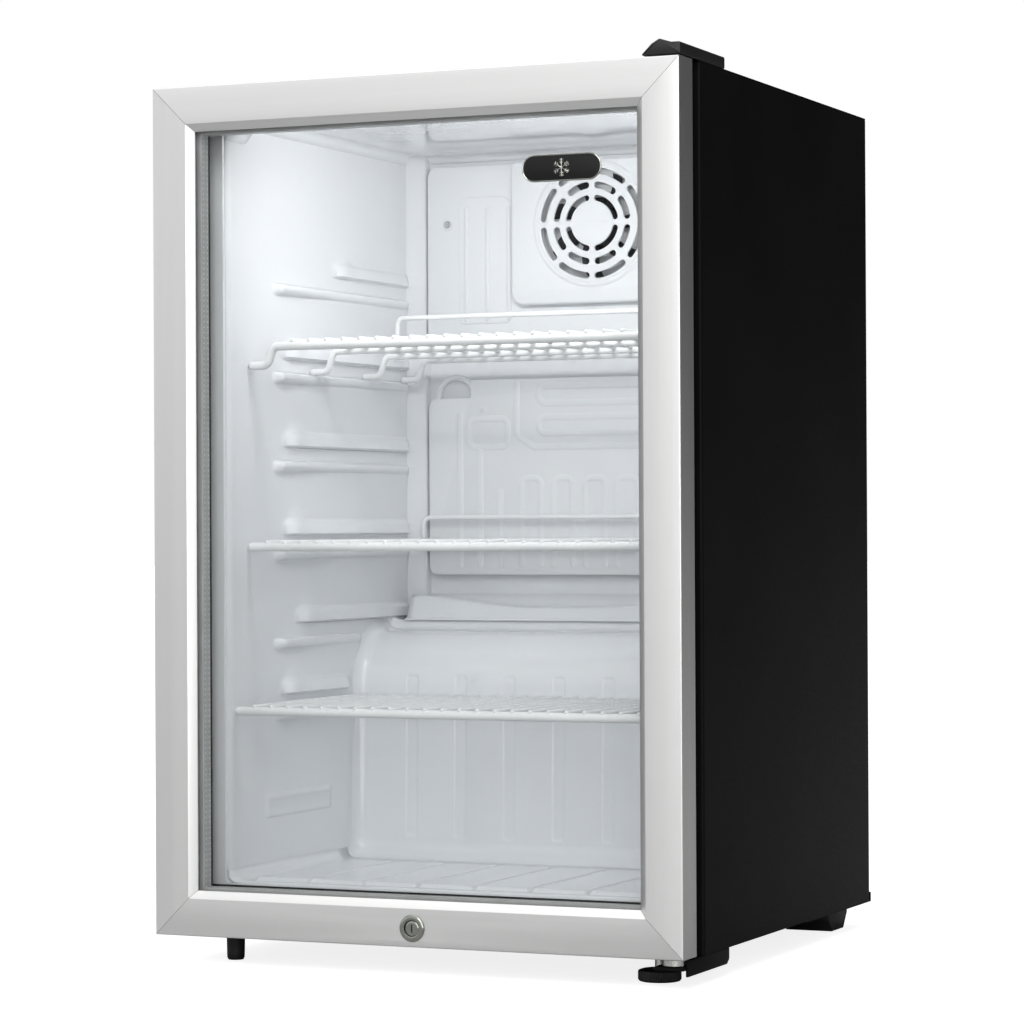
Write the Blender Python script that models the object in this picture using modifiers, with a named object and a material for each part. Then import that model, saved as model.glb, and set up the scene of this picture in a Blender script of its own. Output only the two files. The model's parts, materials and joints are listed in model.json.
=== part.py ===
"""Compact glass-door refrigerator, as separate pieces with moving door, shelves and controls.

Everything is drawn in the cabinet's own frame: x across, y back from the door's front face,
z up from the cabinet's underside. One empty sets that frame on the floor, so that the world
origin is on the floor at the middle of the whole machine. Lengths are in metres.
"""
import math

import bmesh
import bpy
from mathutils import Matrix, Vector

# Whole machine
WIDTH = 0.445
CABINET_HEIGHT = 0.669
FLOOR_GAP = 0.0225
LOCK_PROUD = 0.0015
REAR_LIP = 0.4575
GAP = 0.0003

# Cabinet shell
CABINET_FRONT = 0.0442
CABINET_BACK = 0.4452
SHEET = 0.001
SIDE_FOLD = 0.020
REAR_FOLD = 0.012
FRONT_FOLD_DOWN = 0.018
FRONT_FOLD_UP = 0.036

# Compressor compartment, behind and below the liner
COMPARTMENT_FRONT = 0.3003
COMPARTMENT_STEP = 0.186
COMPARTMENT_TOP = 0.206

# Liner cavity
LINER = 0.002
CAVITY_HALF = 0.184
CAVITY_FLOOR = 0.040
CAVITY_BACK = 0.4012
CEILING = 0.652
OPENING_TOP = 0.640
HUMP_FRONT = 0.2745
HUMP_TOP = 0.232
HUMP_RADIUS = 0.045

# Shelf guides: tops of the lower ribs, from the top level down
GUIDE_TOP = 0.5205
GUIDE_PITCH = 0.0727
GUIDE_LOWEST = 0.1715
GUIDE_REACH = 0.0075
GUIDE_REAR = 0.380

# Door
DOOR_BOTTOM = 0.001
DOOR_TOP = 0.668
RAIL_FACE = 0.0295
RAIL_LIP = 0.0355
RAIL_DEPTH = 0.0283
RAIL_WALL = 0.0014
PANE = 0.004
GASKET_BACK = 0.0439

# Hinge line and lock
PIN_X = 0.2095
PIN_Y = 0.0165
PIN_RADIUS = 0.0035
LOCK_X = 0.0015
LOCK_Z = 0.0155

# Feet
FOOT_X = 0.181
FOOT_Y = 0.058

# Shelves: heights of the front bars' centres
TOP_SHELF_Z = 0.467
SHELF_HALF = 0.1825
WIRE_PITCH = 0.015

# Fan
FAN_X = -0.0057
FAN_Z = 0.584

# Rings of the grille's slots as (inner radius, outer radius, count), and the bar between slots
GRILLE_RINGS = ((0.0428, 0.0484, 8), (0.0304, 0.0362, 8), (0.0196, 0.0248, 4))
GRILLE_BAR = 0.0042
BOSS_RADIUS = 0.0548
BLADE_COUNT = 7
BLADE_PITCH = 33

# Evaporator plate and fan cover, on studs off the back wall
PANEL_HALF = 0.168
PLATE_BOTTOM = 0.279
PLATE_TOP = 0.451
PLATE_FRONT = 0.3935
PLATE_BACK = 0.3950
NOTCH_X = -0.127
NOTCH_Z = 0.435
PIPE_RADIUS = 0.0027
PIPE_BEND = 0.0172
COVER_BOTTOM = 0.475
COVER_TOP = 0.640
COVER_FRONT = 0.3925
COVER_BACK = 0.3945
COVER_BOX = ((-0.083, 0.383, 0.515), (0.157, 0.3945, 0.6398))
COVER_WALL = 0.002
SCREW_X = -0.1485
SCREW_Z = 0.589
STUD = 0.004

# Drain, controls and condenser
DRAIN_X = 0.060
DRAIN_Y = 0.378
DRAIN_HOLE = 0.0058
HOUSING_LEFT = 0.164
KNOB_Y = 0.148
KNOB_Z = 0.595
ROCKER_Y = 0.185
ROCKER_Z = 0.610
COMPRESSOR_X = 0.045
COMPRESSOR_Y = 0.380
COMPRESSOR_RADIUS = 0.052
CONDENSER_Y = 0.4535
CONDENSER_HALF = 0.165
CONDENSER_PASSES = 8
CONDENSER_PITCH = 0.048
CONDENSER_BOTTOM = 0.262
CONDENSER_TUBE = 0.0024

# Outline planes: "X" takes (y, z) pairs, "Y" takes (x, z) pairs, "Z" takes (x, y) pairs
PLANES = {
    "X": Matrix(((0, 0, 1, 0), (1, 0, 0, 0), (0, 1, 0, 0), (0, 0, 0, 1))),
    "Y": Matrix(((1, 0, 0, 0), (0, 0, -1, 0), (0, 1, 0, 0), (0, 0, 0, 1))),
    "Z": Matrix.Identity(4),
}
UNITS = {"X": Vector((1, 0, 0)), "Y": Vector((0, 1, 0)), "Z": Vector((0, 0, 1))}

MATERIALS = {
    "black_steel": ((0.012, 0.012, 0.013), 0.38, 0.0),
    "aluminium": ((0.56, 0.56, 0.57), 0.34, 1.0),
    "white_liner": ((0.80, 0.83, 0.86), 0.22, 0.0),
    "white_wire": ((0.86, 0.87, 0.89), 0.30, 0.0),
    "black_plastic": ((0.016, 0.016, 0.017), 0.45, 0.0),
    "rubber": ((0.02, 0.02, 0.02), 0.80, 0.0),
    "foam": ((0.78, 0.68, 0.42), 0.90, 0.0),
    "glass": ((0.90, 0.95, 0.94), 0.03, 0.0),
    "spacer": ((0.40, 0.41, 0.42), 0.45, 1.0),
    "chrome": ((0.62, 0.63, 0.60), 0.12, 1.0),
    "zinc": ((0.60, 0.60, 0.58), 0.30, 1.0),
    "copper": ((0.72, 0.36, 0.20), 0.30, 1.0),
    "galvanised": ((0.45, 0.46, 0.47), 0.50, 1.0),
    "milky_plastic": ((0.92, 0.93, 0.90), 0.40, 0.0),
}


def clear_scene():
    for item in list(bpy.data.objects):
        bpy.data.objects.remove(item, do_unlink=True)


def new_collection(name):
    collection = bpy.data.collections.new(name)
    bpy.context.scene.collection.children.link(collection)
    return collection


def new_empty(name, location, parent=None):
    empty = bpy.data.objects.new(name, None)
    empty.location = location
    empty.parent = parent
    empty.empty_display_size = 0.03
    PARTS.objects.link(empty)
    return empty


def material_for(node, kind):
    color, roughness, metallic = MATERIALS[kind]
    material = bpy.data.materials.new(node)
    material.use_nodes = True
    shader = material.node_tree.nodes["Principled BSDF"]
    shader.inputs["Base Color"].default_value = (*color, 1.0)
    shader.inputs["Roughness"].default_value = roughness
    shader.inputs["Metallic"].default_value = metallic
    return material


def piece(node, mesh, kind, axis=None):
    """A named piece, drawn in the cabinet frame. axis is the empty that it turns or slides with."""
    holder = axis or ORIGIN
    item = bpy.data.objects.new(node, mesh)
    item.parent = holder
    if axis is not None:
        item.location = -axis.location
    mesh.materials.append(material_for(node, kind))
    PARTS.objects.link(item)
    return item


def cutter(mesh, collection):
    item = bpy.data.objects.new("cutter", mesh)
    item.parent = ORIGIN
    item.hide_render = True
    item.display_type = "WIRE"
    collection.objects.link(item)


def cut(item, *meshes):
    BOOLEANS.append((item, "DIFFERENCE", meshes))


def join(item, *meshes):
    BOOLEANS.append((item, "UNION", meshes))


def add_booleans():
    """Adds every cut and join, last of all, so that no curve waits while they are solved again."""
    for item, operation, meshes in BOOLEANS:
        group = bpy.data.collections.new(f"{item.name}_{operation.lower()}")
        CUTTERS.children.link(group)
        for mesh in meshes:
            cutter(mesh, group)
        modifier = item.modifiers.new(operation.lower(), "BOOLEAN")
        modifier.operation = operation
        modifier.operand_type = "COLLECTION"
        modifier.collection = group
        modifier.solver = "EXACT"


def finish_mesh(mesh, smooth_angle=None):
    shape = bmesh.new()
    shape.from_mesh(mesh)
    bmesh.ops.remove_doubles(shape, verts=shape.verts, dist=0.000001)
    bmesh.ops.recalc_face_normals(shape, faces=shape.faces)
    shape.to_mesh(mesh)
    shape.free()
    if smooth_angle is not None:
        mesh.shade_smooth()
        mesh.set_sharp_from_angle(angle=smooth_angle)
    return mesh


def box(low, high):
    low = Vector(low)
    high = Vector(high)
    shape = bmesh.new()
    bmesh.ops.create_cube(shape, size=1.0)
    size = high - low
    bmesh.ops.scale(shape, vec=size, verts=shape.verts)
    bmesh.ops.translate(shape, vec=(low + high) / 2, verts=shape.verts)
    mesh = bpy.data.meshes.new("box")
    shape.to_mesh(mesh)
    shape.free()
    return mesh


def rod(start, axis, length, radius, sides=20):
    """A cylinder from start along an axis letter."""
    shape = bmesh.new()
    bmesh.ops.create_cone(
        shape, cap_ends=True, segments=sides, radius1=radius, radius2=radius, depth=length,
    )
    turn = UNITS["Z"].rotation_difference(UNITS[axis]).to_matrix().to_4x4()
    place = Matrix.Translation(Vector(start) + UNITS[axis] * length / 2)
    bmesh.ops.transform(shape, matrix=place @ turn, verts=shape.verts)
    mesh = bpy.data.meshes.new("rod")
    shape.to_mesh(mesh)
    shape.free()
    return finish_mesh(mesh, math.radians(40))


def evaluated_mesh(item, matrix):
    """Takes the mesh out of a curve object, welds its caps and removes the curve."""
    bpy.context.view_layer.update()
    depsgraph = bpy.context.evaluated_depsgraph_get()
    mesh = bpy.data.meshes.new_from_object(item.evaluated_get(depsgraph))
    mesh.materials.clear()
    mesh.transform(matrix)
    bpy.data.objects.remove(item, do_unlink=True)
    return finish_mesh(mesh)


def curve_object(curve):
    item = bpy.data.objects.new("outline", curve)
    bpy.context.scene.collection.objects.link(item)
    return item


def prism(outlines, axis, low, high):
    """Flat outlines, one outer and any holes, extruded along an axis letter from low to high."""
    curve = bpy.data.curves.new("outline", "CURVE")
    curve.dimensions = "2D"
    curve.fill_mode = "BOTH"
    curve.extrude = (high - low) / 2
    for outline in outlines:
        spline = curve.splines.new("POLY")
        spline.points.add(len(outline) - 1)
        for point, (across, up) in zip(spline.points, outline):
            point.co = (across, up, 0, 1)
        spline.use_cyclic_u = True
    middle = Matrix.Translation(UNITS[axis] * (low + high) / 2)
    return evaluated_mesh(curve_object(curve), middle @ PLANES[axis])


def wire(points, radius, resolution=0):
    """A round wire or tube through the points, with closed ends."""
    curve = bpy.data.curves.new("wire", "CURVE")
    curve.dimensions = "3D"
    curve.bevel_depth = radius
    curve.bevel_resolution = resolution
    curve.use_fill_caps = True
    spline = curve.splines.new("POLY")
    spline.points.add(len(points) - 1)
    for point, place in zip(spline.points, points):
        point.co = (*place, 1)
    return evaluated_mesh(curve_object(curve), Matrix.Identity(4))


def turned(node, profile, centre, turn, kind, axis=None, steps=28):
    """A turned piece. The profile runs down its outer side as (radius, height) pairs.

    A profile that starts off the axis is closed into a loop, which makes a bored piece.
    """
    mesh = bpy.data.meshes.new(node)
    points = [(radius, 0, height) for radius, height in profile]
    edges = [(i, i + 1) for i in range(len(points) - 1)]
    if profile[0][0] > 0:
        edges.append((len(points) - 1, 0))
    mesh.from_pydata(points, edges, [])
    item = piece(node, mesh, kind, axis)
    item.location = Vector(centre) - (axis.location if axis else Vector())
    item.rotation_euler = turn
    screw = item.modifiers.new("turn", "SCREW")
    screw.angle = math.tau
    screw.steps = steps
    screw.render_steps = steps
    screw.use_merge_vertices = True
    screw.merge_threshold = 0.00001
    screw.use_smooth_shade = True
    return item


UPRIGHT = (0, 0, 0)
FACING_FRONT = (math.pi / 2, 0, 0)
FACING_BACK = (-math.pi / 2, 0, 0)
FACING_LEFT = (0, -math.pi / 2, 0)


def rectangle(left, right, bottom, top):
    return [(left, bottom), (right, bottom), (right, top), (left, top)]


def rounded_rectangle(left, right, bottom, top, radius, steps=4):
    corners = (
        (right - radius, top - radius, 0), (left + radius, top - radius, 90),
        (left + radius, bottom + radius, 180), (right - radius, bottom + radius, 270),
    )
    points = []
    for centre_x, centre_y, start in corners:
        points += arc(centre_x, centre_y, radius, start, start + 90, steps)
    return points


def arc(centre_x, centre_y, radius, start, end, steps):
    points = []
    for i in range(steps + 1):
        angle = math.radians(start + (end - start) * i / steps)
        points.append((centre_x + radius * math.cos(angle), centre_y + radius * math.sin(angle)))
    return points


def offset_outline(outline, distance):
    """Moves each side of a counter-clockwise outline outwards by a distance."""
    count = len(outline)
    moved = []
    for i in range(count):
        before = Vector(outline[i - 1])
        here = Vector(outline[i])
        after = Vector(outline[(i + 1) % count])
        side_in = (here - before).normalized()
        side_out = (after - here).normalized()
        normal_in = Vector((side_in.y, -side_in.x))
        normal_out = Vector((side_out.y, -side_out.x))
        spread = (normal_in + normal_out) / (1 + normal_in.dot(normal_out))
        moved.append(tuple(here + spread * distance))
    return moved


def cavity_outline(front):
    """The storage space seen from the side, counter-clockwise as (y, z)."""
    hump = arc(HUMP_FRONT + 0.0035 + HUMP_RADIUS, HUMP_TOP - HUMP_RADIUS, HUMP_RADIUS, 180, 90, 6)
    return (
        [(front, CAVITY_FLOOR), (HUMP_FRONT, CAVITY_FLOOR)] + hump
        + [(0.338, HUMP_TOP), (0.342, HUMP_TOP + 0.006), (CAVITY_BACK, HUMP_TOP + 0.009)]
        + [(CAVITY_BACK, CEILING), (0.095, CEILING), (0.080, OPENING_TOP), (front, OPENING_TOP)]
    )


def build_shell():
    """Painted steel panels round the foam."""
    half = WIDTH / 2
    for name, side in (("left", -1), ("right", 1)):
        outline = [
            (half, CABINET_FRONT), (half, CABINET_BACK), (half - REAR_FOLD, CABINET_BACK),
            (half - REAR_FOLD, CABINET_BACK - SHEET), (half - SHEET, CABINET_BACK - SHEET),
            (half - SHEET, CABINET_FRONT + SHEET), (half - SIDE_FOLD, CABINET_FRONT + SHEET),
            (half - SIDE_FOLD, CABINET_FRONT),
        ]
        mirrored = [(side * x, y) for x, y in outline]
        top = CABINET_HEIGHT - SHEET - GAP
        piece(f"{name}_side_panel", prism([mirrored], "Z", 0, top), "black_steel")

    fold_half = half - SIDE_FOLD - GAP
    inner_half = half - SHEET - GAP
    top_panel = piece(
        "top_panel",
        box((-half, CABINET_FRONT, CABINET_HEIGHT - SHEET), (half, CABINET_BACK, CABINET_HEIGHT)),
        "black_steel",
    )
    front_strip = (CABINET_FRONT, CABINET_FRONT + SHEET)
    join(top_panel, box(
        (-fold_half, front_strip[0], CABINET_HEIGHT - FRONT_FOLD_DOWN),
        (fold_half, front_strip[1], CABINET_HEIGHT - SHEET / 2),
    ))
    bottom_panel = piece(
        "bottom_panel",
        box((-inner_half, front_strip[1] + GAP, 0), (inner_half, COMPARTMENT_FRONT - GAP, SHEET)),
        "black_steel",
    )
    overlap = 0.002
    fold = [
        (front_strip[0], 0), (front_strip[1] + overlap, 0), (front_strip[1] + overlap, SHEET * 0.9),
        (front_strip[1], SHEET * 0.9), (front_strip[1], FRONT_FOLD_UP), (front_strip[0], FRONT_FOLD_UP),
    ]
    join(bottom_panel, prism([fold], "X", -fold_half, fold_half))
    back_y = CABINET_BACK - SHEET - GAP
    back = box(
        (-inner_half, back_y - SHEET, COMPARTMENT_TOP + GAP),
        (inner_half, back_y, CABINET_HEIGHT - SHEET - GAP),
    )
    piece("back_panel", back, "galvanised")

    bend = [
        (COMPARTMENT_FRONT, 0), (COMPARTMENT_FRONT + SHEET, 0),
        (COMPARTMENT_FRONT + SHEET, COMPARTMENT_STEP), (0.3455, COMPARTMENT_TOP - SHEET),
        (back_y, COMPARTMENT_TOP - SHEET), (back_y, COMPARTMENT_TOP), (0.345, COMPARTMENT_TOP),
        (COMPARTMENT_FRONT, COMPARTMENT_STEP),
    ]
    compartment = piece("compartment_panel", prism([bend], "X", -inner_half, inner_half), "galvanised")
    cut(compartment, rod((DRAIN_X, DRAIN_Y, 0.195), "Z", 0.03, DRAIN_HOLE))


def build_foam_and_liner():
    """The foam fills the space between the shell and the vacuum-formed liner."""
    inner_half = WIDTH / 2 - SHEET - GAP
    back_y = CABINET_BACK - 2 * SHEET - 2 * GAP
    outline = [
        (CABINET_FRONT + SHEET + GAP, SHEET + GAP), (COMPARTMENT_FRONT - GAP, SHEET + GAP),
        (COMPARTMENT_FRONT - GAP, COMPARTMENT_STEP + GAP), (0.3449, COMPARTMENT_TOP + GAP),
        (back_y, COMPARTMENT_TOP + GAP), (back_y, CABINET_HEIGHT - SHEET - GAP),
        (CABINET_FRONT + SHEET + GAP, CABINET_HEIGHT - SHEET - GAP),
    ]
    foam = piece("insulation_foam", prism([outline], "X", -inner_half, inner_half), "foam")
    room = LINER + GAP
    drain = rod((DRAIN_X, DRAIN_Y, 0.195), "Z", 0.06, DRAIN_HOLE)
    foam_cavity = offset_outline(cavity_outline(CABINET_FRONT - 0.010), room)
    cut(foam, prism([foam_cavity], "X", -CAVITY_HALF - room, CAVITY_HALF + room), drain)

    skin = offset_outline(cavity_outline(CABINET_FRONT + LINER), LINER)
    skin_half = CAVITY_HALF + LINER
    liner = piece("inner_liner", prism([skin], "X", -skin_half, skin_half), "white_liner")
    flange_half = WIDTH / 2 - SIDE_FOLD - GAP
    join(liner, box(
        (-flange_half, CABINET_FRONT, FRONT_FOLD_UP + GAP),
        (flange_half, CABINET_FRONT + SHEET, CABINET_HEIGHT - FRONT_FOLD_DOWN - GAP),
    ))
    cut(
        liner,
        prism([cavity_outline(CABINET_FRONT - 0.004)], "X", -CAVITY_HALF, CAVITY_HALF),
        rod((DRAIN_X, DRAIN_Y, 0.195), "Z", 0.06, DRAIN_HOLE),
    )
    join(liner, *guide_ribs())


def guide_levels():
    """Top of the lower rib, and the upper rib's front and rear, at each shelf level."""
    fronts = (0.237, 0.145, 0.145, 0.145, 0.166)
    levels = [(GUIDE_TOP - GUIDE_PITCH * i, front, GUIDE_REAR) for i, front in enumerate(fronts)]
    return levels + [(GUIDE_LOWEST, 0.140, 0.262)]


def guide_ribs():
    ribs = []
    for top, upper_front, rear in guide_levels():
        lower_rear = min(rear, 0.285) if top < HUMP_TOP + 0.01 else rear
        for side in (-1, 1):
            wall = side * (CAVITY_HALF + LINER / 2)
            tip = side * (CAVITY_HALF - GUIDE_REACH)
            low_x, high_x = sorted((wall, tip))
            ribs.append(box((low_x, 0.132, top - 0.008), (high_x, lower_rear, top)))
            ribs.append(box((low_x, upper_front, top + 0.0115), (high_x, rear, top + 0.0255)))
    return ribs


def build_cooling():
    """Evaporator plate, fan cover with its fan, drip trough and drain."""
    wall = CAVITY_BACK - GAP
    plate_outline = [
        (-PANEL_HALF, PLATE_BOTTOM), (PANEL_HALF, PLATE_BOTTOM), (PANEL_HALF, PLATE_TOP),
        (NOTCH_X, PLATE_TOP), (NOTCH_X, NOTCH_Z), (-PANEL_HALF, NOTCH_Z),
    ]
    plate = piece("evaporator_plate", prism([plate_outline], "Y", PLATE_FRONT, PLATE_BACK), "white_liner")
    start = PLATE_BACK - SHEET / 2
    corners = [(x, z) for x in (-0.115, 0.150) for z in (0.300, 0.425)]
    join(plate, *[rod((x, start, z), "Y", wall - start, STUD, 10) for x, z in corners])

    pipe_y = PLATE_BACK + PIPE_RADIUS + SHEET * 0.4
    bend = arc(-0.1425, 0.4365, PIPE_BEND, 180, 10, 8)
    route = [(-0.1425 - PIPE_BEND, 0.412), *bend, (-0.1230, 0.428)]
    piece("suction_line", wire([(x, pipe_y, z) for x, z in route], PIPE_RADIUS, 2), "white_liner")

    cover = piece(
        "fan_cover",
        box((-PANEL_HALF, COVER_FRONT, COVER_BOTTOM), (PANEL_HALF, COVER_BACK, COVER_TOP)),
        "white_liner",
    )
    start = COVER_BACK - SHEET / 2
    corners = [(x, z) for x in (SCREW_X, 0.160) for z in (0.490, SCREW_Z)]
    low, high = (Vector(corner) for corner in COVER_BOX)
    join(
        cover,
        box(low, high),
        rod((FAN_X, low.y - 0.0015, FAN_Z), "Y", 0.003, BOSS_RADIUS, 32),
        *[rod((x, start, z), "Y", wall - start, STUD, 10) for x, z in corners],
    )
    inside_low = (low.x + COVER_WALL, low.y + 0.0025, low.z + COVER_WALL)
    inside_high = (high.x - COVER_WALL, 0.400, high.z - COVER_WALL)
    cut(cover, box(inside_low, inside_high), prism(grille_slots(), "Y", 0.375, 0.388))
    head = [(0, 0.0016), (0.0024, 0.0013), (0.0036, 0.0002), (0.0036, 0), (0, 0)]
    screw = turned(
        "fan_cover_screw", head, (SCREW_X, COVER_FRONT - GAP, SCREW_Z), FACING_FRONT, "zinc", steps=16,
    )
    cut(screw, box((SCREW_X - 0.002, 0.3900, SCREW_Z - 0.0004), (SCREW_X + 0.002, 0.3915, SCREW_Z + 0.0004)))

    motor = [(0, 0.0108), (0.0150, 0.0108), (0.0150, 0.0012), (0.024, 0.0012), (0.024, 0), (0, 0)]
    turned("fan_motor", motor, (FAN_X, wall, FAN_Z), FACING_FRONT, "black_plastic")
    build_fan_rotor()

    trough_shape = [
        (0.3600, 0.2545), (0.3600, 0.2520), (0.3645, 0.2445), (0.4005, 0.2445), (0.4005, 0.2620),
        (0.3990, 0.2620), (0.3990, 0.2460), (0.3655, 0.2460), (0.3615, 0.2530), (0.3615, 0.2545),
    ]
    trough = piece("drip_trough", prism([trough_shape], "X", -0.168, 0.168), "white_liner")
    cut(trough, rod((DRAIN_X, DRAIN_Y, 0.240), "Z", 0.01, 0.0036))
    tube_profile = [(0.0035, 0.0620), (0.0048, 0.0620), (0.0048, 0.0), (0.0035, 0.0)]
    turned("drain_tube", tube_profile, (DRAIN_X, DRAIN_Y, 0.1820), UPRIGHT, "white_liner", steps=16)


def grille_slots():
    """Three rings of arc slots round the fan's hub."""
    slots = []
    for inner, outer, count in GRILLE_RINGS:
        trim = math.degrees(GRILLE_BAR / (inner + outer))
        steps = 24 // count + (2 if count < 8 else 0)
        for i in range(count):
            start = 360 / count * i + trim
            end = 360 / count * (i + 1) - trim
            outer_edge = arc(FAN_X, FAN_Z, outer, start, end, steps)
            inner_edge = arc(FAN_X, FAN_Z, inner, end, start, steps)
            slots.append(outer_edge + inner_edge)
    return slots


def build_fan_rotor():
    axis = new_empty("fan_axis", (FAN_X, 0.392, FAN_Z), ORIGIN)
    cup = [(0, 0.0110), (0.0185, 0.0110), (0.0185, 0.0015), (0.0158, 0.0015), (0.0158, 0.0090), (0, 0.0090)]
    rotor = turned("fan_rotor", cup, (FAN_X, 0.3985, FAN_Z), FACING_FRONT, "black_plastic", axis, 24)
    blades = []
    for i in range(BLADE_COUNT):
        blade = box((0.0178, -0.0008, -0.0075), (0.0465, 0.0008, 0.0075))
        pitch = Matrix.Rotation(math.radians(BLADE_PITCH), 4, "X")
        spin = Matrix.Rotation(math.tau * i / BLADE_COUNT, 4, "Y")
        blade.transform(Matrix.Translation(axis.location) @ spin @ pitch)
        blades.append(blade)
    join(rotor, *blades)


def build_controls():
    """Thermostat and lamp housing on the right wall, with its knob, rocker and lens."""
    housing = piece(
        "control_housing",
        box((HOUSING_LEFT, 0.120, 0.560), (CAVITY_HALF - GAP, 0.230, 0.630)),
        "white_liner",
    )
    outside = HOUSING_LEFT - 0.004
    inside = HOUSING_LEFT + 0.006
    cut(
        housing,
        box((HOUSING_LEFT + 0.002, 0.122, 0.562), (0.190, 0.228, 0.628)),
        rod((outside, KNOB_Y, KNOB_Z), "X", 0.010, 0.0034),
        box((outside, ROCKER_Y - 0.0075, ROCKER_Z - 0.0115), (inside, ROCKER_Y + 0.0075, ROCKER_Z + 0.0115)),
        box((outside, 0.1715, 0.5655), (inside, 0.2225, 0.5905)),
    )
    piece("lamp_lens", box((0.1626, 0.1720, 0.5660), (0.1655, 0.2220, 0.5900)), "milky_plastic")

    knob_axis = new_empty("knob_axis", (HOUSING_LEFT - 0.0004, KNOB_Y, KNOB_Z), ORIGIN)
    knob_profile = [
        (0, 0.0110), (0.0135, 0.0110), (0.0155, 0.0090), (0.0165, 0.0010), (0.0165, 0),
        (0.0030, 0), (0.0030, -0.0100), (0, -0.0100),
    ]
    knob = turned("thermostat_knob", knob_profile, knob_axis.location, FACING_LEFT, "white_liner", knob_axis)
    join(knob, box((0.1505, KNOB_Y - 0.0016, KNOB_Z), (0.1530, KNOB_Y + 0.0016, KNOB_Z + 0.0120)))

    rocker_axis = new_empty("rocker_axis", (HOUSING_LEFT + 0.0015, ROCKER_Y, ROCKER_Z), ORIGIN)
    rocker_shape = [
        (-0.0050, -0.0100), (0.0035, -0.0070), (0.0035, 0.0070), (-0.0050, 0.0100), (-0.0042, 0),
    ]
    rocker = prism([rocker_shape], "Y", -0.0070, 0.0070)
    rest_tilt = Matrix.Rotation(math.radians(-7), 4, "Y")
    rocker.transform(Matrix.Translation(rocker_axis.location) @ rest_tilt)
    piece("light_switch", rocker, "black_plastic", rocker_axis)


def build_compressor_bay():
    """Base tray, compressor and its pipes, and the condenser on the back."""
    tray_shape = [
        (0.286, -0.0020), (REAR_LIP, -0.0020), (REAR_LIP, 0.0060), (REAR_LIP - SHEET, 0.0060),
        (REAR_LIP - SHEET, -0.0010), (0.286, -0.0010),
    ]
    piece("base_tray", prism([tray_shape], "X", -0.2195, 0.2195), "black_steel")

    can = [
        (0, 0.1480), (0.020, 0.1465), (0.038, 0.1390), (0.049, 0.1240), (COMPRESSOR_RADIUS, 0.1050),
        (COMPRESSOR_RADIUS, 0.0450), (0.049, 0.0300), (0.040, 0.0180), (0, 0.0115),
    ]
    centre = Vector((COMPRESSOR_X, COMPRESSOR_Y, 0))
    compressor = turned("compressor", can, centre, UPRIGHT, "black_steel", steps=24)
    leg_start = Vector((0, 0, -SHEET + GAP))
    legs = [
        rod(centre + leg_start + Vector((dx, dy, 0)), "Z", 0.0120, 0.0070, 12)
        for dx in (-0.068, 0.068) for dy in (-0.038, 0.038)
    ]
    plate = box(centre + Vector((-0.078, -0.048, 0.0105)), centre + Vector((0.078, 0.048, 0.0130)))
    join(compressor, plate, *legs)
    relay_right = COMPRESSOR_X - COMPRESSOR_RADIUS - 0.0005
    piece("relay_cover", box((-0.0300, 0.355, 0.050), (relay_right, 0.405, 0.100)), "black_plastic")

    pan = piece("evaporation_pan", box((-0.010, 0.335, 0.1500), (0.100, 0.425, 0.1755)), "black_plastic")
    cut(pan, box((-0.0085, 0.3365, 0.1515), (0.0985, 0.4235, 0.1800)))

    drier = [
        (0, 0.150), (0.003, 0.150), (0.003, 0.142), (0.010, 0.136), (0.010, 0.074),
        (0.003, 0.068), (0.003, 0.060), (0, 0.060),
    ]
    turned("filter_drier", drier, (-0.120, 0.385, 0), UPRIGHT, "copper", steps=16)
    discharge = [
        (0.0978, COMPRESSOR_Y, 0.100), (0.130, COMPRESSOR_Y, 0.100), (0.150, 0.395, 0.105),
        (0.160, 0.430, 0.120), (CONDENSER_HALF, 0.449, 0.150), (CONDENSER_HALF, CONDENSER_Y, 0.170),
        (CONDENSER_HALF, CONDENSER_Y, 0.2393),
    ]
    piece("discharge_line", wire(discharge, 0.0022, 1), "copper")
    suction = [
        (-0.0080, COMPRESSOR_Y, 0.122), (-0.050, 0.382, 0.124), (-0.072, 0.395, 0.136),
        (-0.080, 0.412, 0.165), (-0.080, 0.415, 0.2045),
    ]
    piece("return_line", wire(suction, 0.0030, 1), "copper")
    build_condenser()

    gland = [
        (0.0035, 0.0080), (0.0052, 0.0080), (0.0065, 0.0060), (0.0065, 0.0020),
        (0.0100, 0.0015), (0.0100, 0), (0.0035, 0),
    ]
    gland_place = (-0.190, CABINET_BACK - SHEET, 0.225)
    turned("cord_gland", gland, gland_place, FACING_BACK, "black_plastic", steps=16)


def build_condenser():
    """A serpentine tube with upright wires on it, held off the back panel by two bars."""
    route = [(CONDENSER_HALF, CONDENSER_Y, 0.240)]
    for i in range(CONDENSER_PASSES):
        height = CONDENSER_BOTTOM + CONDENSER_PITCH * i
        start = CONDENSER_HALF if i % 2 == 0 else -CONDENSER_HALF
        route += [(start, CONDENSER_Y, height), (-start, CONDENSER_Y, height)]
    condenser = piece("condenser", wire(route, CONDENSER_TUBE), "black_steel")
    beyond = 0.008
    ends = (CONDENSER_BOTTOM - beyond, CONDENSER_BOTTOM + CONDENSER_PITCH * (CONDENSER_PASSES - 1) + beyond)
    wires = []
    for i in range(12):
        x = -0.154 + 0.028 * i
        wires.append(wire([(x, CONDENSER_Y + 0.0028, z) for z in ends], 0.0010))
    join(condenser, *wires)
    for name, side in (("left", -1), ("right", 1)):
        low, high = sorted((side * 0.139, side * 0.147))
        rear = CONDENSER_Y - CONDENSER_TUBE - GAP
        bar = box((low, CABINET_BACK - SHEET, 0.245), (high, rear, 0.615))
        piece(f"condenser_bracket_{name}", bar, "black_steel")


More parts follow.
